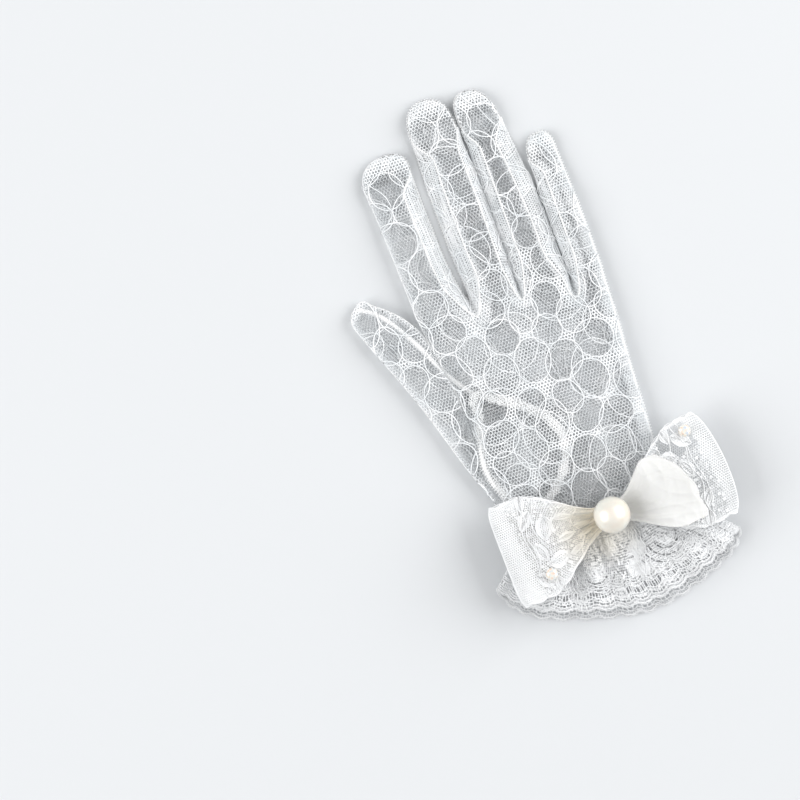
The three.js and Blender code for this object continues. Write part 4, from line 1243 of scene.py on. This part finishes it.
# Soft spun lace yarn, finely twisted: a neutral white, as matt as the net, and cream in the bow.
trim_yarn = thread_material(
    "soft lace yarn", "#f6f7f8", "#eeeff0", 0.7, 0.3, twist=0.35, patch=6.0,
    near=(2.0, -50.0, 17.0, 20.0, "#f1e9d6"),
)
rng = np.random.default_rng(41)
trim = []
full_turn = np.linspace(0, 2 * math.pi, 17)[:-1]
for layer in ("upper", "lower"):
    surface = ruffle_surface(layer)
    centres, corners = hexagons((0, 0), (RUFFLE["length"], RUFFLE["fall"]), **TRIM_NET)
    trim.append(net(surface, centres, corners, ruffle_opening(layer, surface, centres, rng)))
    along = np.linspace(0.2, RUFFLE["length"] - 0.2, 300 if layer == "upper" else 200)
    for n, inset in enumerate((0.2, *LADDER, *SLOTS[0], *SLOTS[1])):
        wobble = 0.14 * np.sin(along * (2.1 + 0.3 * n) + n)
        row = np.stack([along, hem_line(along, inset) + wobble], -1)[None]
        trim.append(cords(surface, row, **ROW_CORD, lift=0.05 + 0.03 * n))
    for (near, far), step in BARS:
        bar = np.arange(0.8, RUFFLE["length"] - 0.8, step)
        bar = bar + rng.uniform(-0.35, 0.35, bar.shape)
        bars = [np.stack([bar, hem_line(bar, inset)], -1) for inset in np.linspace(far, near, 3)]
        trim.append(cords(surface, np.stack(bars, 1), **BAR))
    knob = np.arange(0.9, RUFFLE["length"], PICOT["apart"])
    hem_points, _ = surface(knob, np.minimum(hem_line(knob, 0.05), RUFFLE["fall"]))
    turn = full_turn[::2]
    circle = np.stack([np.cos(turn), np.sin(turn), 0 * turn], -1)
    picots = hem_points[:, None] + PICOT["radius"] * circle
    trim.append(tube(picots, UP, PICOT["thread"], PICOT["thread"], closed=True))
for x, y, inner, outer, start, stop in FANS:
    arcs = np.arange(inner, outer, FAN_STEP)
    edges = np.sort(np.concatenate([arcs, arcs + FAN_OPEN * FAN_STEP]))
    angle = np.radians(np.linspace(start - 6, stop + 6, 40))
    r = edges[:, None] * (1 + 0.015 * np.sin(9 * angle + np.arange(len(edges))[:, None] * 1.7))
    trim.append(cords(ruffle_from_above, polar(x, y, r, angle), **ARC, lift=0.08))
    for r0 in arcs:
        count = int(math.radians(stop - start) * (r0 + 0.5) / 2.3)
        share = (np.arange(count) + rng.uniform(0.2, 0.8, count)) / count
        angle = np.radians(start + (stop - start) * share)[:, None]
        r = np.linspace(r0, r0 + FAN_OPEN * FAN_STEP, 3)
        trim.append(cords(ruffle_from_above, polar(x, y, r, angle), **ARC_BAR, lift=0.05))
    angle = np.linspace(0, 6 * math.pi, 80)
    spiral = polar(x, y, (inner - 0.6) * angle / angle[-1], angle)[None]
    trim.append(cords(ruffle_from_above, spiral, **ARC, lift=0.12))
for x, y, radius in PATCHES:
    turned = 2 * math.pi * (np.arange(PETALS) + rng.random())[:, None] / PETALS
    petal_x = x + radius * (0.5 * np.cos(turned) + 0.46 * np.cos(full_turn))
    petal_y = y + radius * (0.5 * np.sin(turned) + 0.46 * np.sin(full_turn))
    lift = 0.05 + 0.06 * np.arange(PETALS)[:, None, None]
    paths = np.stack([petal_x, petal_y], -1)
    trim.append(cords(ruffle_from_above, paths, **PETAL, closed=True, lift=lift))
for top, bottom, high, low, count, gap in RIBS:
    for n in range(count):
        rib_x = np.linspace(top + gap * n, bottom + 1.6 * gap * n, 40)
        rib_y = np.linspace(high, low, 40)
        rib = np.stack([rib_x + 0.35 * np.sin(rib_y * 1.3 + n), rib_y], -1)
        trim.append(cords(ruffle_from_above, rib[None], **RIB, lift=0.15 + 0.03 * n))
ruffle = mesh_piece("wrist_ruffle", trim, trim_yarn)
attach(ruffle, "root")
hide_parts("ruffle")

# Bow, lace loops
# Two wide loops of the same lace as a straight ribbon: gathered to a fifth of its width in the knot,
# spread to its full width at the fold. A wavy cord follows the fold, with leaves beside it.
KNOT = {"x": 8.4, "y": -48.9, "z": 12.5, "across": 4.2, "along": 6.4, "high": 4.2, "power": 0.72}
ROOT_OFFSET = 4.5
ROOT_HALF = 4.4  # half the width to which the ribbon is gathered there
RIBBON_HALF = 20.0
LOOPS = {  # fold: how far out the fold lies in its middle, and its slant and bow
    "lace_loop_left": {
        "side": -1, "end": (-33.2, -51.0), "corner": (-1.2, 20.2), "root_z": 12.6, "root_rise": 3.1,
        "bottom": 11.0, "top": 18.6, "crown": 2.0, "fold": (-1.5, -0.9, 0.0),
        "ground": 0.64, "strip": 0.48, "hem": (2.4, 7.0),
    },
    "organza_loop_left": {
        "side": -1, "end": (-28.0, -51.0), "corner": (-0.8, 15.6), "root_z": 12.6, "root_rise": 1.3,
        "bottom": 12.4, "top": 17.2, "crown": 1.7, "fold": (-0.5, 0.0, 0.0),
    },
    "lace_loop_right": {
        "side": 1, "end": (52.2, -43.7), "corner": (-2.4, 21.0), "root_z": 10.9, "root_rise": 0.95,
        "bottom": 11.0, "top": 15.6, "crown": 1.6, "fold": (1.4, 0.6, -2.8),
        "ground": 0.76, "strip": 0.6, "hem": (2.0, 4.5), "open": (1.5, 18.0, 8.0),
    },
    "organza_loop_right": {
        "side": 1, "end": (37.0, -47.3), "corner": (-5.0, 14.4), "root_z": 14.7, "root_rise": 1.1,
        "bottom": 18.3, "top": 23.6, "crown": 1.2, "belly": 0.6, "fold": (1.2, 0.0, -2.4),
        "uneven": 0.6, "pleats": 0.2,
    },
}
LOOP_FOLDS = {"depth": 0.42, "count": 17, "wide_depth": 0.5}  # the pleats that the knot makes
RIBBON_NET = {"pitch": 0.9, "stretch": 1.1, "sway": 0.25}
RIBBON_EDGE = {"scallop": 7.6, "depth": 0.9, "close": 1.4, "opening": 0.35}
RIBBON_OPENING = {
    "uneven": (0.75, 1.15), "dot": 0.2, "dot_share": 0.08, "open": 0.88, "leaf_border": 0.05,
    "leaf": 0.4,
}
LEAF_CORD = {"width": 0.5, "height": 0.36}
EDGE_CORD = {"width": 0.6, "height": 0.45}


def loop_lengths(loop):
    """Length of the ribbon from the knot to the fold, and round the fold."""
    root = KNOT["x"] + loop["side"] * ROOT_OFFSET
    length = math.hypot(loop["end"][0] - root, loop["end"][1] - KNOT["y"])
    return length, math.pi * (loop["top"] - loop["bottom"]) / 2


def ribbon_limit(x, edge):
    """Half the ribbon's width, with scallops that are edge deep."""
    return RIBBON_HALF - edge * (1 - np.abs(np.sin(math.pi * x / RIBBON_EDGE["scallop"])))


def loop_surface(loop, edge=0.0, seed=0.0):
    """Places of a loop: x runs from the knot over the top, round the fold and back below, and y across
    the ribbon from -20 to 20. edge is how deep its sides are scalloped."""
    length, bend = loop_lengths(loop)
    root = KNOT["x"] + loop["side"] * ROOT_OFFSET
    wide, deep = math.hypot(*loop["corner"]), (loop["top"] - loop["bottom"]) / 2
    out, slant, bow = loop["fold"]
    pleated, uneven = loop.get("pleats", 1), loop.get("uneven", 0.0)

    def surface(x, y, home=None):
        limit = ribbon_limit(x, edge)
        inside = (x > 0) & (x < 2 * length + bend) & (np.abs(y) < limit)
        x = np.clip(x, 0, 2 * length + bend)
        turn = np.clip((x - length) / bend, 0, 1) * math.pi
        along = np.where(x < length, x, np.minimum(length, 2 * length + bend - x)) / length
        across = loop["side"] * np.clip(y, -limit, limit) / RIBBON_HALF
        half = lerp(ROOT_HALF, wide, smooth(1.25 * along) ** 0.8)
        facing = unit(np.stack([loop["corner"][0] * along, np.full(x.shape, loop["corner"][1])], -1))
        fold = out + slant * across + bow * across**2 - 1.8 * across**8
        fold = fold + uneven * (np.sin(4.3 * across + 1) + 0.6 * np.sin(9.1 * across + 2 * turn))
        px = lerp(root, loop["end"][0], along) + facing[..., 0] * half * across
        px = px + loop["side"] * fold * along**3
        py = lerp(KNOT["y"], loop["end"][1], along) + facing[..., 1] * half * across
        parted = smooth(1.6 * along)
        middle = lerp(loop["root_z"], (loop["top"] + loop["bottom"]) / 2, parted)
        rise = lerp(loop["root_rise"], deep, parted)
        arch = np.sin(math.pi * along) * (1 - 0.25 * across**2)
        swell = lerp(loop.get("belly", 0.0), loop["crown"], (1 + np.cos(turn)) / 2)
        gather = LOOP_FOLDS["wide_depth"] * pleated * np.cos(3 * math.pi * across)
        gather = gather * (1 - smooth(1.7 * along))
        folds = np.cos(LOOP_FOLDS["count"] * across + seed + 3 * np.sin(3 * along))
        folds = pleated * LOOP_FOLDS["depth"] * folds * (1 - smooth(along * 1.05))
        pz = middle + rise * np.cos(turn) + swell * arch + gather + folds
        return np.stack([px + loop["side"] * np.sin(turn) * rise, py, pz], -1), inside

    return surface


LEAVES = (  # from the fold back to the knot, across, length, width, turn in degrees
    (17.5, 9.5, 9.6, 6.6, 15), (11.5, 3.0, 8.4, 4.4, 70), (16.0, -6.0, 11.0, 6.6, 105),
    (9.5, -10.5, 8.4, 4.6, 130), (9.0, 13.0, 8.4, 4.6, 45), (22.8, 1.4, 7.6, 4.0, 0),
    (24.0, -10.5, 7.2, 3.8, 160), (25.0, 12.0, 6.8, 3.6, 20), (10.0, -17.2, 6.4, 3.4, 95),
    (14.0, 17.6, 6.2, 3.2, 85), (30.0, -3.0, 7.0, 3.4, 175), (30.5, 6.0, 7.0, 3.4, 5),
)
STEMS = (  # from the fold back to the knot, swing, and length of wave
    (7.6, 0.7, 3.4), (9.2, 0.9, 2.3), (13.5, 1.8, 4.3), (20.5, 2.2, 3.1), (28.0, 1.6, 3.9),
)
LEAF_LINES = ((1.0, 1.0), (0.58, 0.86), (0.02, 0.86))  # outline, border and midrib: share across, along


def leaf_share(x, y, leaf):
    """How far places are from a leaf's midrib, as a share of the way to its outline, over 1 outside."""
    far, across, length, width, turn = leaf
    c, s = math.cos(math.radians(turn)), math.sin(math.radians(turn))
    u, v = (x - far) * c + (y - across) * s, (y - across) * c - (x - far) * s
    half = width / 2 * (1 - (2 * u / length) ** 2)
    return np.where(np.abs(u) < length / 2, np.abs(v) / np.maximum(half, 1e-3), 9.0)


def ribbon_opening(x, y, loop, rng):
    """Meshes of the ribbon's ground: filled dots here and there, leaves with a filled border and an
    open inside, and close edges."""
    length, bend = loop_lengths(loop)
    sizes = RIBBON_OPENING
    back = np.where(x < length, length - x, x - length - bend)
    opening = loop["ground"] * rng.uniform(*sizes["uneven"], x.shape)
    opening[rng.random(x.shape) < sizes["dot_share"]] = sizes["dot"]
    if "open" in loop:
        near, far, above = loop["open"]
        opening = np.where((back > near) & (back < far) & (y > above), sizes["open"], opening)
    for leaf in LEAVES:
        share = leaf_share(back, y, leaf)
        opening = np.where(share < 1, sizes["leaf_border"], opening)
        opening = np.where(share < 0.5, sizes["leaf"], opening)
    hem = lerp(*loop["hem"], (y + RIBBON_HALF) / (2 * RIBBON_HALF))
    opening = np.where(back < hem, loop["strip"], opening)
    return np.where(np.abs(y) > RIBBON_HALF - RIBBON_EDGE["close"], RIBBON_EDGE["opening"], opening)


def ribbon_cords(loop):
    """Paths of the cords that outline the ribbon's leaves, of their midribs and of the wavy stems, on
    both halves of a loop."""
    length, bend = loop_lengths(loop)
    paths = []
    way = np.linspace(0, 2 * math.pi, 44)
    for far, across, long, width, turn in LEAVES:
        c, s = math.cos(math.radians(turn)), math.sin(math.radians(turn))
        for share_across, share_along in LEAF_LINES:
            u = long / 2 * np.cos(way) * share_along
            v = share_across * width / 2 * np.sin(way) * np.abs(np.sin(way))
            paths.append(np.stack([far + u * c - v * s, across + u * s + v * c], -1))
    across = np.linspace(0.5 - RIBBON_HALF, RIBBON_HALF - 0.5, 44)
    for far, swing, wave in STEMS:
        paths.append(np.stack([far + swing * np.sin(across / wave), across], -1))
    paths = np.stack(paths)
    top, below = paths.copy(), paths.copy()
    top[..., 0] = length - paths[..., 0]
    below[..., 0] = length + bend + paths[..., 0]
    return np.concatenate([top, below])


for name, seed in (("lace_loop_left", 0.0), ("lace_loop_right", 2.0)):
    loop = LOOPS[name]
    length, bend = loop_lengths(loop)
    surface = loop_surface(loop, RIBBON_EDGE["depth"], seed)
    field = ((0, -RIBBON_HALF), (2 * length + bend, RIBBON_HALF))
    centres, corners = hexagons(*field, **RIBBON_NET)
    parts = [net(surface, centres, corners, ribbon_opening(centres[:, 0], centres[:, 1], loop, rng))]
    laid = ribbon_cords(loop)
    lift = 0.03 + 0.05 * ((np.arange(len(laid)) * 7) % 5)[:, None, None]
    parts.append(cords(surface, laid, **LEAF_CORD, lift=lift))
    way = np.linspace(0.2, 2 * length + bend - 0.2, 260)
    for side in (-1, 1):
        edge = side * (ribbon_limit(way, RIBBON_EDGE["depth"]) - 0.2)
        parts.append(cords(surface, np.stack([way, edge], -1)[None], **EDGE_CORD))
    piece = mesh_piece(name + "_net", parts, trim_yarn)
    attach(piece, "root")
    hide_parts(name)

# Bow, organza loops
# Two smaller loops of sheer plain organza, the left inside its lace loop and the right on top of its
# own. Crisp, satin-like, and creased from the knot outwards.
ORGANZA = {"width": 31.0, "thickness": 0.16, "stations": 120, "ribs": 88}
CREASES = (  # direction, spacing, depth and waviness
    (0.5, 2.7, 0.14, 0.9), (2.3, 3.4, 0.2, 1.1), (1.45, 2.1, 0.11, 0.7), (0.1, 4.4, 0.22, 1.3),
    (2.75, 1.6, 0.07, 0.8),
)
CREASES_FROM_KNOT = 12  # where they have their full depth


def grid_faces(rows, columns, closed=False):
    """Faces of a grid of points; a closed one goes on from its last column to its first."""
    number = np.arange(rows * columns).reshape(rows, columns)
    number = np.concatenate([number, number[:, :1]], 1) if closed else number
    corners = [number[:-1, :-1], number[1:, :-1], number[1:, 1:], number[:-1, 1:]]
    return np.stack(corners, -1).reshape(-1, 4)


# Sheer woven filament: a soft satin gloss, a little see-through, with a fine plain weave, which is
# drawn about twice as coarse as the real one.
organza, place = new_material("organza")
weave = ridges(organza, place, 0.4, distortion=0.6, strength=0.2, depth=0.02)
surfaced(organza, {
    "Base Color": linear("#f7f7f5"), "Roughness": 0.6, "Sheen Weight": 0.25, "Sheen Roughness": 0.4,
    "Alpha": 0.62, "Normal": (weave, "Normal"), "Subsurface Weight": 0.35,
    "Subsurface Radius": (1.2 * MM, 1.2 * MM, 1.1 * MM), "Subsurface Scale": 1.0,
})
for name, seed in (("organza_loop_left", 1.0), ("organza_loop_right", 3.0)):
    loop = LOOPS[name]
    length, bend = loop_lengths(loop)
    way = np.linspace(0.05, 2 * length + bend - 0.05, ORGANZA["stations"])
    across = np.linspace(-RIBBON_HALF + 0.05, RIBBON_HALF - 0.05, ORGANZA["ribs"])
    x, y = np.meshgrid(way, across, indexing="ij")
    points, _ = loop_surface(loop, 0.0, seed)(x, y)
    out = np.minimum(np.minimum(x, 2 * length + bend - x) / CREASES_FROM_KNOT, 1)
    for turned, spacing, depth, sway in CREASES:
        along = (x * math.cos(turned) + y * math.sin(turned)) / spacing + seed
        aside = (y * math.cos(turned) - x * math.sin(turned)) / spacing
        place = along + sway * np.sin(0.6 * aside + seed) + 0.7 * np.sin(0.7 * along)
        points[..., 2] += depth * out * (1.5 * (1 - np.abs(np.sin(place))) ** 2 - 0.4)
    piece = mesh_piece(name + "_cloth", [(points.reshape(-1, 3), grid_faces(*x.shape))], organza)
    thick = piece.modifiers.new("cloth thickness", "SOLIDIFY")
    thick.thickness = ORGANZA["thickness"] * MM
    thick.offset = 0.0
    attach(piece, "root")
    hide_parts(name)

# Bow, knot
# A strip of the organza wound over the gathered middle, with folds along the winding.
around = np.linspace(0, 2 * math.pi, 97)[:-1]
over = np.linspace(-math.pi / 2, math.pi / 2, 61)
v, u = np.meshgrid(over, around, indexing="ij")


def bulge(value, power):
    """A power of the size of a value from -1 to 1, which keeps its sign: less than 1 is blunter."""
    return np.sign(value) * np.abs(value) ** power


ridge = 1 + 0.05 * np.cos(9 * v + 1.5 * np.sin(u)) * np.cos(v) + 0.03 * np.cos(17 * v + 2 * np.cos(u))
reach = bulge(np.cos(v), KNOT["power"]) * ridge * 0.97
knot_points = np.stack([
    KNOT["x"] + KNOT["across"] * bulge(np.sin(v), KNOT["power"]),
    KNOT["y"] + KNOT["along"] * reach * bulge(np.cos(u), KNOT["power"]),
    KNOT["z"] + KNOT["high"] * reach * bulge(np.sin(u), KNOT["power"]),
], -1)
knot_faces = grid_faces(*v.shape, closed=True)[:, [0, 3, 2, 1]]
knot = mesh_piece("bow_knot_cloth", [(knot_points.reshape(-1, 3), knot_faces)], organza)
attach(knot, "root")
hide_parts("bow_knot")

# Pearl
# A large imitation pearl, sewn on through its side to side bore: a glossy nacre-like coat, cream
# with faint pink and green.
PEARL = {"radius": 7.0, "z": 24.0, "rows": 81, "columns": 120, "bore": 0.075}  # bore in radians
PEARL_DIMPLE = {"depth": 0.02, "radius": 0.9}  # round the bore's ends, depth as a share
from_end = np.linspace(PEARL["bore"], math.pi - PEARL["bore"], PEARL["rows"])
around = 2 * math.pi * np.arange(PEARL["columns"]) / PEARL["columns"]
v, u = np.meshgrid(from_end, around, indexing="ij")
from_bore = np.sin(v) * PEARL["radius"] / PEARL_DIMPLE["radius"]
radius = PEARL["radius"] * (1 - PEARL_DIMPLE["depth"] * np.exp(-(from_bore**2)))
pearl_points = np.stack([
    KNOT["x"] + radius * np.cos(v),
    KNOT["y"] + radius * np.sin(v) * np.cos(u),
    PEARL["z"] + radius * np.sin(v) * np.sin(u),
], -1)
# Pearl lacquer over a moulded bead: a soft broad gloss under a coat, warm white with faint clouds.
nacre, place = new_material("imitation pearl coat")
cloud = add_node(
    nacre, "ShaderNodeTexNoise", {"Vector": (place, "Object"), "Scale": 0.11 / MM, "Detail": 2.0}
)
tint = ramp(nacre, (cloud, "Fac"), (0.35, "#efe6da"), (0.65, "#eeece4"))
surfaced(nacre, {
    "Base Color": (tint, "Color"), "Roughness": 0.36, "Metallic": 0.25, "Coat Weight": 0.7,
    "Coat Roughness": 0.34, "Subsurface Weight": 0.15, "Subsurface Scale": 1.0,
    "Subsurface Radius": (0.6 * MM, 0.5 * MM, 0.4 * MM), "Thin Film Thickness": 420.0,
    "Thin Film IOR": 1.5, "IOR": 1.55,
})
pearl_faces = grid_faces(*v.shape, closed=True)
pearl = mesh_piece("pearl_bead", [(pearl_points.reshape(-1, 3), pearl_faces)], nacre)
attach(pearl, "root")
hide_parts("pearl")

# Stones
# One sewn-on cut stone on each half of the bow: an eight-sided crown with an iridescent coat.
STONES = {"stone_left": (-20.3, -62.2, 21.1), "stone_right": (45.0, -28.6, 17.2)}  # middle of the back
STONE_SIDES = 8
STONE_RINGS = (  # radius, height and turn of the rings of corners, from the flat back to the table
    (2.26, 0.0, 0.0), (2.4, 0.4, 0.0), (2.4, 0.55, 0.0), (1.95, 1.1, 0.5), (1.35, 1.6, 0.0),
)
# Cut and coated glass: sharp small glints, pale with a breath of pink and blue.
crystal, place = new_material("cut crystal with iridescent coat")
cells = add_node(crystal, "ShaderNodeTexVoronoi", {"Vector": (place, "Object"), "Scale": 0.9 / MM})
tint = ramp(crystal, (cells, "Distance"), (0.0, "#ffd5c4"), (0.5, "#fffbee"), (1.0, "#d8e8ff"))
surfaced(crystal, {
    "Base Color": (tint, "Color"), "Roughness": 0.06, "Metallic": 0.35, "IOR": 1.6, "Coat Weight": 1.0,
    "Coat Roughness": 0.03,
})
for name, (x, y, base) in STONES.items():
    points = []
    for radius, height, turned in STONE_RINGS:
        angle = 2 * math.pi * (np.arange(STONE_SIDES) + turned) / STONE_SIDES
        points += [(x + radius * math.cos(a), y + radius * math.sin(a), base + height) for a in angle]
    last = len(points)
    faces = [tuple(range(STONE_SIDES - 1, -1, -1)), tuple(range(last - STONE_SIDES, last))]
    for ring in range(len(STONE_RINGS) - 1):
        turned = STONE_RINGS[ring + 1][2] - STONE_RINGS[ring][2]
        for i in range(STONE_SIDES):
            a, b = STONE_SIDES * ring + i, STONE_SIDES * ring + (i + 1) % STONE_SIDES
            c, d = a + STONE_SIDES, b + STONE_SIDES
            if turned > 0:
                faces += [(a, b, c), (b, d, c)]
            elif turned < 0:
                faces += [(a, d, c), (a, b, d)]
            else:
                faces.append((a, b, d, c))
    mesh = bpy.data.meshes.new(name + "_cut")
    points = [tuple(MM * (p - q) for p, q in zip(point, PATTERN_CENTRE)) for point in points]
    mesh.from_pydata(points, [], faces)
    mesh.materials.append(crystal)
    stone = bpy.data.objects.new(name + "_cut", mesh)
    bpy.context.scene.collection.objects.link(stone)
    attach(stone, "root")
    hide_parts(name)

# Table and light
# A plain pale table under two soft side lights and an even sky.
TABLE_SIZE = 3.0

table_mesh = bpy.data.meshes.new("table")
edge = TABLE_SIZE / 2
table_corners = [(x * edge, y * edge, 0) for x, y in ((-1, -1), (1, -1), (1, 1), (-1, 1))]
table_mesh.from_pydata(table_corners, [], [(0, 1, 2, 3)])
table = bpy.data.objects.new("table", table_mesh)
# Matt paper: no gloss, so the shadows stay soft.
paper = bpy.data.materials.new("matt paper")
paper.use_nodes = True
paper_shader = paper.node_tree.nodes["Principled BSDF"]
paper_shader.inputs["Base Color"].default_value = linear("#d6d8da")
paper_shader.inputs["Roughness"].default_value = 0.9
table_mesh.materials.append(paper)
bpy.context.scene.collection.objects.link(table)

LIGHTS = (  # name, place, size across and along, power; each points at the frame's origin
    ("right softbox", (1.45, 0.05, 1.05), (1.55, 1.90), 31.0),
    ("left softbox", (-1.40, 0.20, 1.10), (1.30, 1.60), 21.0),
)
for name, place, size, power in LIGHTS:
    light = bpy.data.lights.new(name, "AREA")
    light.shape = "RECTANGLE"
    light.size, light.size_y = size
    light.energy = power
    lamp = bpy.data.objects.new(name, light)
    lamp.location = place
    x, y, z = place
    lamp.rotation_euler = (0, math.acos(z / math.hypot(x, y, z)), math.atan2(y, x))
    bpy.context.scene.collection.objects.link(lamp)

sky = bpy.data.worlds.new("sky")
sky.use_nodes = True
sky.node_tree.nodes["Background"].inputs["Color"].default_value = linear("#ffffff")
sky.node_tree.nodes["Background"].inputs["Strength"].default_value = 0.55
bpy.context.scene.world = sky
bpy.context.scene.view_settings.view_transform = "Standard"
bpy.context.scene.view_settings.gamma = 0.88
